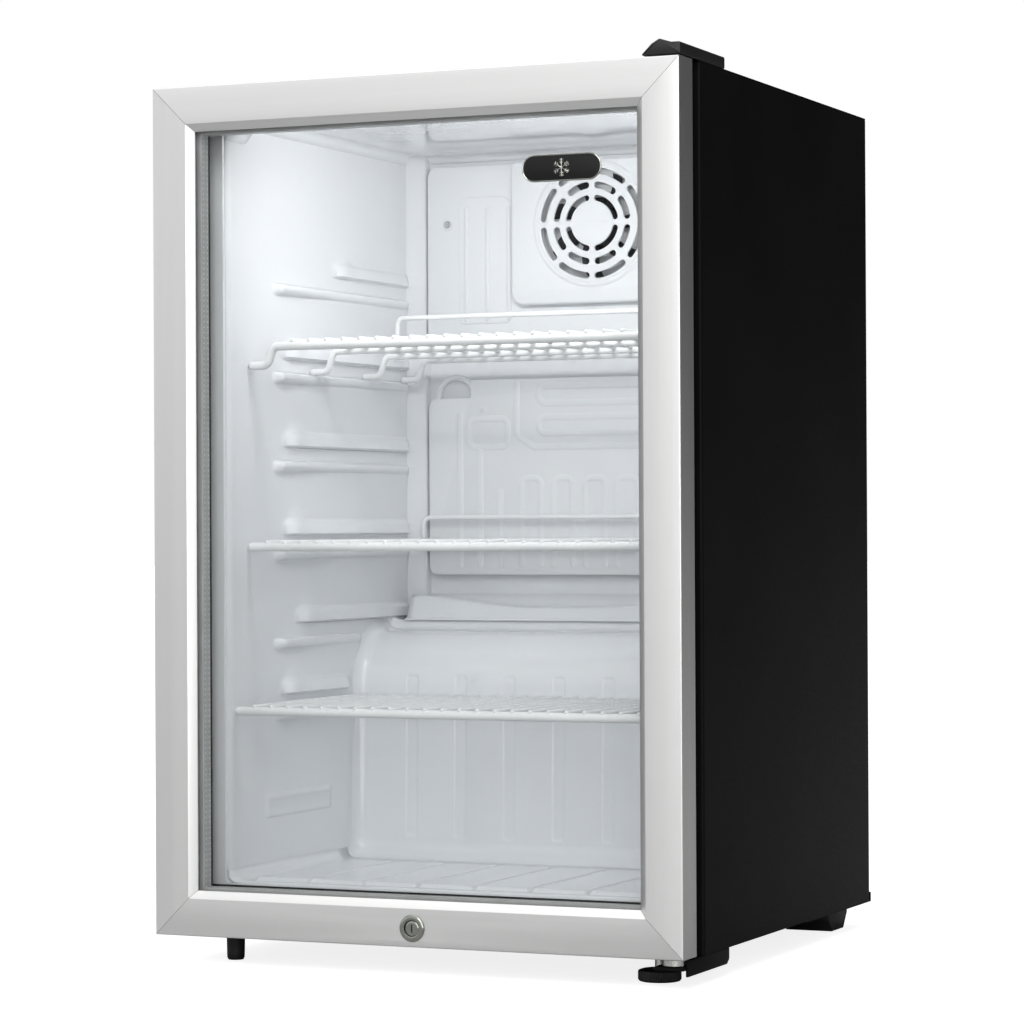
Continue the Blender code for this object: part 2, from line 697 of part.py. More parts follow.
def build_feet():
    leg = [(0, 0.0222), (0.0078, 0.0222), (0.0078, 0.0180), (0.0070, 0), (0, 0)]
    turned("front_leg_left", leg, (-0.179, 0.052, -FLOOR_GAP), UPRIGHT, "black_plastic", steps=20)
    axis = new_empty("foot_axis", (FOOT_X, FOOT_Y, -FLOOR_GAP), ORIGIN)
    foot = [
        (0, 0.0220), (0.0030, 0.0220), (0.0030, 0.0095), (0.0060, 0.0092), (0.0150, 0.0088),
        (0.0165, 0.0078), (0.0165, 0.0012), (0.0155, 0), (0, 0),
    ]
    turned("levelling_foot", foot, axis.location, UPRIGHT, "black_plastic", axis, 32)
    wedge = [
        (0.390, -0.0120), (0.400, -FLOOR_GAP), (0.430, -FLOOR_GAP), (0.440, -0.010),
        (0.440, -0.0023), (0.390, -0.0023),
    ]
    for name, side in (("left", -1), ("right", 1)):
        low, high = sorted((side * 0.162, side * 0.204))
        piece(f"rear_foot_{name}", prism([wedge], "X", low, high), "black_plastic")


def build_hinges():
    """Brackets, pins, washer and cover on the right-hand hinge line."""
    half = WIDTH / 2
    plate_bottom = CABINET_HEIGHT + GAP
    plate_top = plate_bottom + 0.0025
    plan = [(0.1960, 0.026), (0.2050, 0.008), (0.2205, 0.008), (0.2205, 0.092), (0.1960, 0.092)]
    bracket = piece("top_hinge_bracket", prism([plan], "Z", plate_bottom, plate_top), "black_steel")
    cut(bracket, rod((PIN_X, PIN_Y, plate_bottom - 0.005), "Z", 0.012, PIN_RADIUS + GAP))
    pin = [
        (0, 0.0020), (0.0055, 0.0020), (0.0055, GAP), (PIN_RADIUS, GAP), (PIN_RADIUS, -0.0150), (0, -0.0150),
    ]
    turned("top_hinge_pin", pin, (PIN_X, PIN_Y, plate_top), UPRIGHT, "zinc", steps=20)
    right = half - GAP
    cover_plan = [(0.1915, 0.022), (0.2030, 0.003), (right, 0.003), (right, 0.0985), (0.1915, 0.0985)]
    cover = piece("top_hinge_cover", prism([cover_plan], "Z", plate_bottom, 0.6812), "black_plastic")
    cut(cover, prism([offset_outline(cover_plan, -0.0014)], "Z", plate_bottom - 0.01, 0.6798))

    joggle = [
        (0.006, -0.0075), (0.040, -0.0075), (0.0425, -0.0028), (0.100, -0.0028), (0.100, -GAP),
        (0.0405, -GAP), (0.038, -0.0050), (0.006, -0.0050),
    ]
    lower = piece("bottom_hinge_bracket", prism([joggle], "X", 0.165, 0.2200), "black_steel")
    join(lower, box((0.2195, 0.012, -0.0125), (0.2215, 0.1005, -GAP)))
    cut(
        lower,
        box((0.150, 0, -0.02), (0.196, 0.036, 0.01)),
        rod((PIN_X, PIN_Y, -0.015), "Z", 0.03, PIN_RADIUS + GAP),
        rod((FOOT_X, FOOT_Y, -0.015), "Z", 0.03, 0.0034),
    )
    piece("bottom_hinge_pin", rod((PIN_X, PIN_Y, -0.0072), "Z", 0.0200, PIN_RADIUS), "zinc")
    washer = [(0.0038, 0.0052), (0.0098, 0.0052), (0.0098, 0), (0.0038, 0)]
    turned("bottom_hinge_washer", washer, (PIN_X, PIN_Y, -0.0047), UPRIGHT, "zinc", steps=24)

    strike_shape = [
        (0.0340, 0.0008), (0.0439, 0.0008), (0.0439, 0.0068), (0.0429, 0.0068), (0.0429, 0.0018),
        (0.0350, 0.0018), (0.0350, 0.0068), (0.0340, 0.0068),
    ]
    piece("lock_strike", prism([strike_shape], "X", LOCK_X - 0.009, LOCK_X + 0.009), "zinc")


def rail_profile():
    """Cross-section of the door extrusion as (inwards from the edge, back from the face)."""
    outer = [
        (0, 0), (RAIL_FACE, 0), (RAIL_LIP, 0.0050), (RAIL_LIP, 0.0060), (0.0270, 0.0060),
        (0.0270, RAIL_DEPTH), (0, RAIL_DEPTH),
    ]
    inner_wall = 0.0270 - RAIL_WALL
    hollow = [
        (RAIL_WALL, RAIL_WALL), (inner_wall, RAIL_WALL),
        (inner_wall, RAIL_DEPTH - RAIL_WALL), (RAIL_WALL, RAIL_DEPTH - RAIL_WALL),
    ]
    return outer, hollow


def mitre_cutter(side, edge, up):
    """Cuts a rail's or stile's corner at 45 degrees. up is 1 at the top, -1 at the bottom."""
    half = WIDTH / 2
    reach = 0.06
    clearance = GAP / 2
    rail = [(0.01, 0.01 + clearance), (-reach, -reach + clearance), (0.01, -reach + clearance)]
    stile = [(0.01, 0.01 - clearance), (-reach, -reach - clearance), (-reach, 0.01 - clearance)]
    return [
        prism([[(side * (half + x), edge + up * z) for x, z in corner]], "Y", -0.02, RAIL_DEPTH + 0.02)
        for corner in (rail, stile)
    ]


def build_door(axis):
    half = WIDTH / 2
    profile = rail_profile()
    rails = {}
    stiles = {}
    for name, edge, up in (("top", DOOR_TOP, 1), ("bottom", DOOR_BOTTOM, -1)):
        shape = [[(v, edge - up * u) for u, v in outline] for outline in profile]
        rails[up] = piece(f"door_rail_{name}", prism(shape, "X", -half, half), "aluminium", axis)
    for name, side in (("left", -1), ("right", 1)):
        shape = [[(side * (half - u), v) for u, v in outline] for outline in profile]
        length = prism(shape, "Z", DOOR_BOTTOM, DOOR_TOP)
        stiles[side] = piece(f"door_stile_{name}", length, "aluminium", axis)
    corners = {
        (side, up): mitre_cutter(side, DOOR_TOP if up > 0 else DOOR_BOTTOM, up)
        for side in (-1, 1) for up in (-1, 1)
    }
    hinge_holes = [
        rod((PIN_X, PIN_Y, edge - 0.015), "Z", 0.03, PIN_RADIUS + 0.001) for edge in (DOOR_BOTTOM, DOOR_TOP)
    ]
    lock_hole = rod((LOCK_X, -0.01, LOCK_Z), "Y", 0.06, 0.0085)
    cut(rails[1], corners[-1, 1][0], corners[1, 1][0])
    cut(rails[1], hinge_holes[1])
    cut(rails[-1], corners[-1, -1][0], corners[1, -1][0])
    cut(rails[-1], hinge_holes[0], lock_hole)
    cut(stiles[-1], corners[-1, 1][1], corners[-1, -1][1])
    cut(stiles[1], corners[1, 1][1], corners[1, -1][1])

    piece("glazing_seal", ring(0.0290, 0.0362, 0.0063, 0.0073), "rubber", axis)
    piece("outer_pane", pane(0.0076), "glass", axis)
    piece("pane_spacer", ring(0.0300, 0.0375, 0.0119, 0.0239), "spacer", axis)
    piece("inner_pane", pane(0.0242), "glass", axis)
    inner_frame = piece("door_inner_frame", ring(0.0030, 0.0370, 0.0286, 0.0330), "black_plastic", axis)
    cut(inner_frame, rod((LOCK_X, 0, LOCK_Z), "Y", 0.06, 0.0085))
    gasket_outline = rectangle(-half + 0.012, half - 0.012, 0.0250, DOOR_TOP - 0.010)
    gasket_hole = offset_outline(gasket_outline, -0.013)
    piece("door_gasket", prism([gasket_outline, gasket_hole], "Y", 0.0333, GASKET_BACK), "rubber", axis)

    badge_outline = rounded_rectangle(0.0929, 0.1579, 0.5795, 0.6005, 0.0104, 6)
    piece("door_badge", prism([badge_outline], "Y", 0.0060, 0.0073), "black_plastic", axis)

    body = [
        (0.0063, LOCK_PROUD), (0.0092, LOCK_PROUD), (0.0105, 0.0008), (0.0105, GAP), (0.0080, GAP),
        (0.0080, -0.0350), (0.0063, -0.0350),
    ]
    turned("lock_body", body, (LOCK_X, 0, LOCK_Z), FACING_FRONT, "chrome", axis, 24)


def ring(outer, inner, front, back):
    """A rectangular ring measured inwards from the door's edges."""
    half = WIDTH / 2
    outlines = [
        rectangle(inset - half, half - inset, DOOR_BOTTOM + inset, DOOR_TOP - inset)
        for inset in (outer, inner)
    ]
    return prism(outlines, "Y", front, back)


def pane(front):
    inset = 0.0275
    half = WIDTH / 2 - inset
    return box((-half, front, DOOR_BOTTOM + inset), (half, front + PANE, DOOR_TOP - inset))


def build_lock():
    axis = new_empty("lock_axis", (LOCK_X, 0, LOCK_Z), ORIGIN)
    barrel_profile = [
        (0, 0.0009), (0.0052, 0.0009), (0.0059, 0.0004), (0.0059, -0.0355), (0.0035, -0.0355),
        (0.0035, -0.0385), (0, -0.0385),
    ]
    barrel = turned("lock_barrel", barrel_profile, axis.location, FACING_FRONT, "chrome", axis, 20)
    cut(barrel, box((LOCK_X - 0.0006, -0.003, LOCK_Z - 0.0032), (LOCK_X + 0.0006, 0.004, LOCK_Z + 0.0032)))
    cam_outline = [(LOCK_X - 0.0130, LOCK_Z - 0.0040)] + arc(LOCK_X, LOCK_Z, 0.0058, -44, 44, 4)
    cam_outline += [(LOCK_X - 0.0130, LOCK_Z + 0.0040)]
    cam = piece("lock_cam", prism([cam_outline], "Y", 0.0360, 0.0380), "zinc", axis)
    cut(cam, rod((LOCK_X, 0.030, LOCK_Z), "Y", 0.015, 0.0038, 12))


def shelf_rack(node, cross_bars, count, wire_span, wire_z, rail):
    """A coated wire rack: cross bars, wires running front to back, and a raised rail."""
    axis = new_empty(f"{node}_slide", (0, wire_span[0], wire_z), ORIGIN)
    rack = piece(node, cross_bars[0], "white_wire", axis)
    wires = []
    for i in range(count):
        x = (i - (count - 1) / 2) * WIRE_PITCH
        wires.append(wire([(x, y, wire_z) for y in wire_span], 0.0018))
    if rail:
        rail_y, rail_half, rail_top = rail
        low = wire_z - 0.0035
        points = [(-rail_half, low), (-rail_half, rail_top), (rail_half, rail_top), (rail_half, low)]
        wires.append(wire([(x, rail_y, z) for x, z in points], 0.0018))
    join(rack, *cross_bars[1:], *wires)


def straight_bar(y, z, radius, resolution=0):
    return wire([(-SHELF_HALF, y, z), (SHELF_HALF, y, z)], radius, resolution)


def cranked_bar(y, z, foot_z, radius, resolution=0):
    """A bar whose ends step down to rest on the guides."""
    right = [(0.1605, z), (0.1660, foot_z), (SHELF_HALF, foot_z)]
    left = [(-x, height) for x, height in reversed(right)]
    return wire([(x, y, height) for x, height in left + right], radius, resolution)


def build_shelves():
    top_guide = GUIDE_TOP - GUIDE_PITCH
    thin = 0.0022
    thick = 0.0030
    bars = [cranked_bar(0.085, TOP_SHELF_Z, top_guide + thick + 0.0005, thick, 1)]
    bar_top = TOP_SHELF_Z + thick - thin
    bars += [cranked_bar(y, bar_top, top_guide + thin + 0.0005, thin) for y in (0.192, 0.291, 0.3675)]
    shelf_rack("top_shelf", bars, 20, (0.081, 0.3705), TOP_SHELF_Z + 0.0026, (0.291, 0.149, 0.5005))

    middle_guide = GUIDE_TOP - 3 * GUIDE_PITCH
    for node, guide, fronts, rail in (
        ("middle_shelf", middle_guide, (0.083, 0.185, 0.285, 0.386), (0.386, 0.1700, 0.3294)),
        ("bottom_shelf", GUIDE_LOWEST, (0.060, 0.158, 0.256), None),
    ):
        bar_z = guide + thin + 0.0005
        bars = [straight_bar(fronts[0], bar_z + thin - thick, thick, 1)]
        bars += [straight_bar(y, bar_z, thin) for y in fronts[1:]]
        shelf_rack(node, bars, 23, (fronts[0] - 0.004, fronts[-1] + 0.0035), bar_z + thin, rail)


clear_scene()
PARTS = new_collection("compact_glass_door_refrigerator")
CUTTERS = new_collection("cutters")
overall_depth = REAR_LIP + LOCK_PROUD
BOOLEANS = []
ORIGIN = new_empty("cabinet_frame", (0, LOCK_PROUD - overall_depth / 2, FLOOR_GAP))
door_axis = new_empty("door_axis", (PIN_X, PIN_Y, 0), ORIGIN)

build_shell()
build_foam_and_liner()
build_cooling()
build_controls()
build_compressor_bay()
build_feet()
build_hinges()
build_door(door_axis)
build_lock()
build_shelves()
add_booleans()
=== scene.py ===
import json
import math

import bmesh
import bpy
from mathutils import Matrix, Vector


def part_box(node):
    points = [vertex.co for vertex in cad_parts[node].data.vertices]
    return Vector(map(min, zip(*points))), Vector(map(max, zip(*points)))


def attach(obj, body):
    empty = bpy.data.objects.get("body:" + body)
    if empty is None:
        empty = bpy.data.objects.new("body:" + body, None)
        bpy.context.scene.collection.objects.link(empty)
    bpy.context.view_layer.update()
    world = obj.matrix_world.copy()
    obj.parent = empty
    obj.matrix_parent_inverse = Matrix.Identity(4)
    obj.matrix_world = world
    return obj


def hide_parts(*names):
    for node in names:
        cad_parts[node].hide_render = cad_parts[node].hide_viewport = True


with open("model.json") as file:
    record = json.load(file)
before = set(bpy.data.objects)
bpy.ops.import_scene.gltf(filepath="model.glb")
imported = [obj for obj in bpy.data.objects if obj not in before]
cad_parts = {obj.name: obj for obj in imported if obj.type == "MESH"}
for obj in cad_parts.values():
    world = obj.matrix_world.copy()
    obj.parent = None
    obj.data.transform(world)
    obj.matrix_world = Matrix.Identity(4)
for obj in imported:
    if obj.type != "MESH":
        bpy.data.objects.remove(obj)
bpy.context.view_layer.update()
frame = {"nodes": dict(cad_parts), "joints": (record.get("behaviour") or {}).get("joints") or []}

NODES = frame["nodes"]
JOINTS = {joint["name"]: joint for joint in frame["joints"]}
ORIGIN = Vector((0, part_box("door_rail_top")[0].y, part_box("left_side_panel")[0].z))


def near(node):
    """A CAD node's lowest corner in the cabinet frame."""
    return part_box(node)[0] - ORIGIN


def far(node):
    """A CAD node's highest corner in the cabinet frame."""
    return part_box(node)[1] - ORIGIN


def pivot(joint):
    return Vector(JOINTS[joint]["pos_m"]) - ORIGIN


# Cabinet, read from the frame
HALF = far("right_side_panel").x
CABINET_FRONT = near("right_side_panel").y
CABINET_BACK = far("right_side_panel").y
CABINET_TOP = far("top_panel").z
SHEET = 0.001
SIDE_FOLD = 0.020
REAR_FOLD = 0.012
FLOOR_Z = -ORIGIN.z

# Liner: the cavity is the liner's box less its own thickness
LINER = 0.002
CAVITY_HALF = 0.184
CAVITY_FLOOR = near("inner_liner").z + LINER
CAVITY_BACK = far("inner_liner").y - LINER
CEILING = far("inner_liner").z - LINER
OPENING_TOP = CEILING - 0.012
WALL_COVE = 0.010
HUMP_FRONT = 0.2745
HUMP_TOP = 0.232
HUMP_RADIUS = 0.045
HUMP_COVE = 0.016
LEDGE = 0.241

# Shelf guides
GUIDE_TOPS = [0.5205 - 0.0727 * i for i in range(5)] + [0.1715]
GUIDE_FRONTS = (0.237, 0.145, 0.145, 0.145, 0.166, 0.140)
GUIDE_REACH = 0.0075
LOWER_RIB_FRONT = 0.132

# Door
DOOR_BOTTOM = near("door_rail_bottom").z
DOOR_TOP = far("door_rail_top").z
RAIL_DEPTH = far("door_rail_top").y
RAIL_FACE = 0.0295
RAIL_LIP = 0.0355

# Fan and grille
FAN = pivot("fan_spin")
BOSS_RADIUS = 0.0548
SLOT_RINGS = ((0.0428, 0.0484, 8), (0.0304, 0.0362, 8), (0.0196, 0.0248, 4))
SLOT_BAR = 0.0046

LOCK = pivot("lock_turn")
FOOT = pivot("foot_turn")
KNOB = pivot("thermostat_turn")


# ---------------------------------------------------------------- materials


def node(tree, kind, **values):
    made = tree.nodes.new(kind)
    for key, value in values.items():
        if key in made.inputs:
            made.inputs[key].default_value = value
        else:
            setattr(made, key, value)
    return made


def coordinates(tree, scale):
    place = node(tree, "ShaderNodeTexCoord")
    mapping = node(tree, "ShaderNodeMapping", Scale=scale)
    tree.links.new(place.outputs["Object"], mapping.inputs["Vector"])
    return mapping.outputs["Vector"]


def noise(tree, scale, detail=4.0, stretch=(1, 1, 1)):
    texture = node(tree, "ShaderNodeTexNoise", Scale=scale, Detail=detail)
    tree.links.new(coordinates(tree, stretch), texture.inputs["Vector"])
    return texture.outputs["Fac"]


def remap(tree, value, low, high, start=0.3, end=0.7):
    scaled = node(tree, "ShaderNodeMapRange")
    scaled.inputs["From Min"].default_value = start
    scaled.inputs["From Max"].default_value = end
    scaled.inputs["To Min"].default_value = low
    scaled.inputs["To Max"].default_value = high
    tree.links.new(value, scaled.inputs["Value"])
    return scaled.outputs["Result"]


def tint(tree, value, low, high):
    ramp = node(tree, "ShaderNodeValToRGB")
    ramp.color_ramp.elements[0].position = 0.3
    ramp.color_ramp.elements[0].color = (*low, 1)
    ramp.color_ramp.elements[1].position = 0.7
    ramp.color_ramp.elements[1].color = (*high, 1)
    tree.links.new(value, ramp.inputs["Fac"])
    return ramp.outputs["Color"]


def surface(
    name, low, high, rough, metallic=0.0, patch=9.0, grain=900.0, bump=0.1, depth=0.0002,
    stretch=(1, 1, 1), specular=0.5, coat=0.0, extra=None,
):
    """A Principled material: patches of colour and roughness, and a fine grain in its relief."""
    material = bpy.data.materials.new(name)
    material.use_nodes = True
    tree = material.node_tree
    shader = tree.nodes["Principled BSDF"]
    shader.inputs["Metallic"].default_value = metallic
    shader.inputs["Specular IOR Level"].default_value = specular
    shader.inputs["Coat Weight"].default_value = coat
    broad = noise(tree, patch, 5.0, stretch)
    fine = noise(tree, grain, 3.0, stretch)
    tree.links.new(tint(tree, broad, low, high), shader.inputs["Base Color"])
    tree.links.new(remap(tree, fine, *rough), shader.inputs["Roughness"])
    relief = node(tree, "ShaderNodeBump", Strength=bump, Distance=depth)
    tree.links.new(fine, relief.inputs["Height"])
    tree.links.new(relief.outputs["Normal"], shader.inputs["Normal"])
    if extra:
        extra(tree, shader, relief)
    return material


def long_waves(tree, shader, relief):
    """The slight unevenness of a vacuum-formed sheet, under its fine grain."""
    wave = node(tree, "ShaderNodeBump", Strength=0.25, Distance=0.002)
    tree.links.new(noise(tree, 14.0, 1.0), wave.inputs["Height"])
    tree.links.new(wave.outputs["Normal"], relief.inputs["Normal"])


def dot_rows(tree, shader, relief):
    """Two rows of small pinholes along the spacer, bright against the dull strip."""
    axes = node(tree, "ShaderNodeSeparateXYZ")
    tree.links.new(coordinates(tree, (1, 1, 1)), axes.inputs["Vector"])
    run = node(tree, "ShaderNodeMath", operation="ADD")
    tree.links.new(axes.outputs["X"], run.inputs[0])
    tree.links.new(axes.outputs["Z"], run.inputs[1])
    parts = []
    for value, pitch in ((run.outputs[0], DOT_PITCH), (axes.outputs["Y"], DOT_ROW)):
        wave = node(tree, "ShaderNodeMath", operation="PINGPONG")
        wave.inputs[1].default_value = pitch / 2
        tree.links.new(value, wave.inputs[0])
        share = node(tree, "ShaderNodeMath", operation="DIVIDE")
        share.inputs[1].default_value = pitch / 2
        tree.links.new(wave.outputs[0], share.inputs[0])
        parts.append(share.outputs[0])
    both = node(tree, "ShaderNodeMath", operation="MULTIPLY")
    tree.links.new(parts[0], both.inputs[0])
    tree.links.new(parts[1], both.inputs[1])
    old = shader.inputs["Base Color"].links[0].from_socket
    mixer = node(tree, "ShaderNodeMix", data_type="RGBA")
    tree.links.new(remap(tree, both.outputs[0], 0, 1, 0.55, 0.75), mixer.inputs["Factor"])
    tree.links.new(old, mixer.inputs["A"])
    mixer.inputs["B"].default_value = (0.62, 0.63, 0.64, 1)
    tree.links.new(mixer.outputs["Result"], shader.inputs["Base Color"])


def spangle(tree, shader, relief):
    """The frosted crystal pattern of galvanised sheet."""
    cells = node(tree, "ShaderNodeTexVoronoi", Scale=70.0)
    tree.links.new(coordinates(tree, (1, 1, 1)), cells.inputs["Vector"])
    grey = node(tree, "ShaderNodeRGBToBW")
    tree.links.new(cells.outputs["Color"], grey.inputs["Color"])
    tree.links.new(tint(tree, grey.outputs["Val"], (0.34, 0.35, 0.36), (0.50, 0.51, 0.52)),
                   shader.inputs["Base Color"])


def glass_material():
    """Clear panes: what is behind shows through, with a faint smeared gloss on top."""
    material = bpy.data.materials.new("clear_glass")
    material.use_nodes = True
    tree = material.node_tree
    tree.nodes.remove(tree.nodes["Principled BSDF"])
    clear = node(tree, "ShaderNodeBsdfTransparent", Color=(0.992, 0.996, 0.997, 1))
    gloss = node(tree, "ShaderNodeBsdfGlossy")
    tree.links.new(remap(tree, noise(tree, 6.0, 6.0), 0.01, 0.08), gloss.inputs["Roughness"])
    fresnel = node(tree, "ShaderNodeFresnel", IOR=1.12)
    mixer = node(tree, "ShaderNodeMixShader")
    tree.links.new(fresnel.outputs["Fac"], mixer.inputs["Fac"])
    tree.links.new(clear.outputs["BSDF"], mixer.inputs[1])
    tree.links.new(gloss.outputs["BSDF"], mixer.inputs[2])
    tree.links.new(mixer.outputs["Shader"], tree.nodes["Material Output"].inputs["Surface"])
    return material


DOT_PITCH = 0.0042
DOT_ROW = 0.0060
ALONG_X = (0.02, 1, 1)
ALONG_Z = (1, 1, 0.02)

aluminium_across = surface(
    "satin_aluminium_across", (0.78, 0.78, 0.78), (0.84, 0.84, 0.84), (0.34, 0.42), 1.0,
    patch=60.0, grain=2500.0, bump=0.06, stretch=ALONG_X,
)
aluminium_upright = surface(
    "satin_aluminium_upright", (0.78, 0.78, 0.78), (0.84, 0.84, 0.84), (0.34, 0.42), 1.0,
    patch=60.0, grain=2500.0, bump=0.06, stretch=ALONG_Z,
)
black_paint = surface(
    "black_paint", (0.0035, 0.0035, 0.004), (0.006, 0.006, 0.0065), (0.38, 0.5),
    grain=1400.0, bump=0.18, depth=0.0001, specular=0.06,
)
liner_white = surface(
    "liner_white", (0.845, 0.862, 0.885), (0.875, 0.89, 0.91), (0.18, 0.26),
    grain=700.0, bump=0.03, extra=long_waves,
)
liner_gloss = surface(
    "liner_gloss", (0.845, 0.862, 0.885), (0.875, 0.89, 0.91), (0.05, 0.09),
    grain=500.0, bump=0.01, coat=0.6, extra=long_waves,
)
cover_white = surface(
    "cover_white", (0.87, 0.885, 0.905), (0.90, 0.915, 0.93), (0.24, 0.32),
    grain=1100.0, bump=0.08,
)
plate_white = surface(
    "plate_white", (0.86, 0.875, 0.895), (0.89, 0.905, 0.92), (0.26, 0.36),
    grain=800.0, bump=0.05, extra=long_waves,
)
wire_white = surface(
    "wire_white", (0.88, 0.89, 0.90), (0.94, 0.945, 0.95), (0.22, 0.34),
    patch=25.0, grain=900.0, bump=0.12,
)
textured_black = surface(
    "textured_black", (0.010, 0.010, 0.011), (0.018, 0.018, 0.019), (0.42, 0.56),
    grain=1600.0, bump=0.35, depth=0.0002, specular=0.35,
)
fan_black = surface(
    "fan_black", (0.012, 0.012, 0.014), (0.022, 0.022, 0.025), (0.38, 0.5), grain=1200.0, bump=0.15,
)
rubber_black = surface(
    "rubber_black", (0.012, 0.012, 0.012), (0.022, 0.022, 0.022), (0.62, 0.8),
    grain=1300.0, bump=0.3, specular=0.3,
)
gloss_black = surface(
    "gloss_black", (0.006, 0.006, 0.007), (0.012, 0.012, 0.013), (0.3, 0.4),
    grain=700.0, bump=0.03, specular=0.2,
)
# Chrome base colour darkened and tinted green: a painted dark greenish reflection of its surroundings, not the
# metal's own tone.
chrome_painted_reflection = surface(
    "chrome_painted_dark_reflection", (0.30, 0.315, 0.28), (0.38, 0.39, 0.36), (0.10, 0.18), 1.0,
    patch=80.0, grain=1600.0, bump=0.04,
)
zinc = surface(
    "zinc_plate", (0.58, 0.58, 0.56), (0.70, 0.70, 0.69), (0.22, 0.34), 1.0,
    patch=120.0, grain=1500.0, bump=0.1,
)
copper = surface(
    "drawn_copper", (0.60, 0.27, 0.14), (0.76, 0.38, 0.22), (0.24, 0.38), 1.0,
    patch=50.0, grain=900.0, bump=0.08,
)
galvanised = surface(
    "galvanised_sheet", (0.40, 0.41, 0.42), (0.48, 0.49, 0.50), (0.36, 0.5), 1.0,
    grain=700.0, bump=0.06, extra=spangle,
)
spacer_grey = surface(
    "perforated_spacer", (0.38, 0.385, 0.38), (0.44, 0.445, 0.44), (0.4, 0.5), 0.2,
    patch=40.0, grain=900.0, bump=0.1, extra=dot_rows,
)
foam_cream = surface(
    "foam_cream", (0.66, 0.55, 0.32), (0.80, 0.70, 0.46), (0.8, 0.95),
    patch=30.0, grain=500.0, bump=0.6, depth=0.0006,
)
milky = surface(
    "milky_lens", (0.86, 0.87, 0.84), (0.92, 0.93, 0.90), (0.3, 0.4), grain=900.0, bump=0.2,
)
clear_glass = glass_material()


# ------------------------------------------------------------------- shapes


def ease(low, high, value):
    """0 below low, 1 above high, smooth between. low above high turns it round."""
    share = min(max((value - low) / (high - low), 0.0), 1.0)
    return share * share * (3 - 2 * share)


def arc(centre_x, centre_y, radius, start, end, steps):
    points = []
    for i in range(steps + 1):
        angle = math.radians(start + (end - start) * i / steps)
        points.append((centre_x + radius * math.cos(angle), centre_y + radius * math.sin(angle)))
    return points


def rounded(points, radius, steps=4, closed=True):
    """The same path with each corner rounded. radius is one number, or one for each point."""
    count = len(points)
    radii = radius if isinstance(radius, (list, tuple)) else [radius] * count
    path = []
    for i in range(count):
        here = Vector(points[i])
        if not closed and i in (0, count - 1) or radii[i] <= 0:
            path.append(here)
            continue
        before = Vector(points[i - 1]) - here
        after = Vector(points[(i + 1) % count]) - here
        half_angle = before.angle(after) / 2
        if half_angle > math.radians(89):
            path.append(here)
            continue
        back = min(radii[i] / math.tan(half_angle), before.length * 0.49, after.length * 0.49)
        bend = back * math.tan(half_angle)
        inward = (before.normalized() + after.normalized()).normalized()
        centre = here + inward * (bend / math.sin(half_angle))
        start = here + before.normalized() * back - centre
        end = here + after.normalized() * back - centre
        swing = start.angle(end)
        for k in range(steps + 1):
            share = k / steps
            point = (start * math.sin((1 - share) * swing) + end * math.sin(share * swing)) / math.sin(swing)
            path.append(centre + point)
    return path


def skin(rings, wrap=True, closed=False, caps=True, flip=False):
    """A mesh over rings of points. wrap joins each ring's two ends, closed joins last to first."""
    shape = bmesh.new()
    rows = [[shape.verts.new(point) for point in ring] for ring in rings]
    pairs = list(zip(rows, rows[1:])) + ([(rows[-1], rows[0])] if closed else [])
    for first, second in pairs:
        for i in range(len(first) - (0 if wrap else 1)):
            k = (i + 1) % len(first)
            shape.faces.new((first[i], first[k], second[k], second[i]))
    if wrap and caps and not closed:
        shape.faces.new(rows[0])
        shape.faces.new(rows[-1])
    bmesh.ops.remove_doubles(shape, verts=shape.verts, dist=0.0000005)
    bmesh.ops.recalc_face_normals(shape, faces=shape.faces)
    if flip:
        bmesh.ops.reverse_faces(shape, faces=shape.faces)
    mesh = bpy.data.meshes.new("skin")
    shape.to_mesh(mesh)
    shape.free()
    return mesh


def sheet(columns, rows, point):
    """An open sheet: point(u, v) over every pair from columns and rows."""
    return skin([[point(u, v) for v in rows] for u in columns], wrap=False)


def merged(*meshes):
    shape = bmesh.new()
    for mesh in meshes:
        shape.from_mesh(mesh)
    result = bpy.data.meshes.new("merged")
    shape.to_mesh(result)
    shape.free()
    return result


def moved(mesh, matrix):
    mesh.transform(matrix)
    return mesh


PLANES = {
    "X": lambda a, b, c: (c, a, b),
    "Y": lambda a, b, c: (a, c, b),
    "Z": lambda a, b, c: (a, b, c),
}


def slab(outline, axis, low, high, edge=0.0, steps=2):
    """A flat outline extruded along an axis letter, with rounded edges of radius edge."""
    place = PLANES[axis]
    levels = [(low, 0.0), (high, 0.0)]
    if edge:
        turns = [math.pi / 2 * i / steps for i in range(steps + 1)]
        start = [(low + edge * (1 - math.sin(t)), edge * (1 - math.cos(t))) for t in reversed(turns)]
        end = [(high - edge * (1 - math.sin(t)), edge * (1 - math.cos(t))) for t in turns]
        levels = start + end
    rings = []
    for height, inset in levels:
        ring = inset_outline(outline, inset) if inset else outline
        rings.append([place(p[0], p[1], height) for p in ring])
    return skin(rings)


def inset_outline(outline, distance):
    """Moves every side of an outline inwards by a distance."""
    area = sum(a[0] * b[1] - b[0] * a[1] for a, b in zip(outline, [*outline[1:], outline[0]]))
    sign = 1 if area > 0 else -1
    inner = []
    for i in range(len(outline)):
        here = Vector(outline[i][:2])
        side_in = (here - Vector(outline[i - 1][:2])).normalized()
        side_out = (Vector(outline[(i + 1) % len(outline)][:2]) - here).normalized()
        normal = Vector((-side_in.y - side_out.y, side_in.x + side_out.x)) * sign
        spread = normal / max(1 + side_in.dot(side_out), 0.4)
        inner.append(tuple(here + spread * distance))
    return inner


def rectangle(left, right, bottom, top):
    return [(left, bottom), (right, bottom), (right, top), (left, top)]


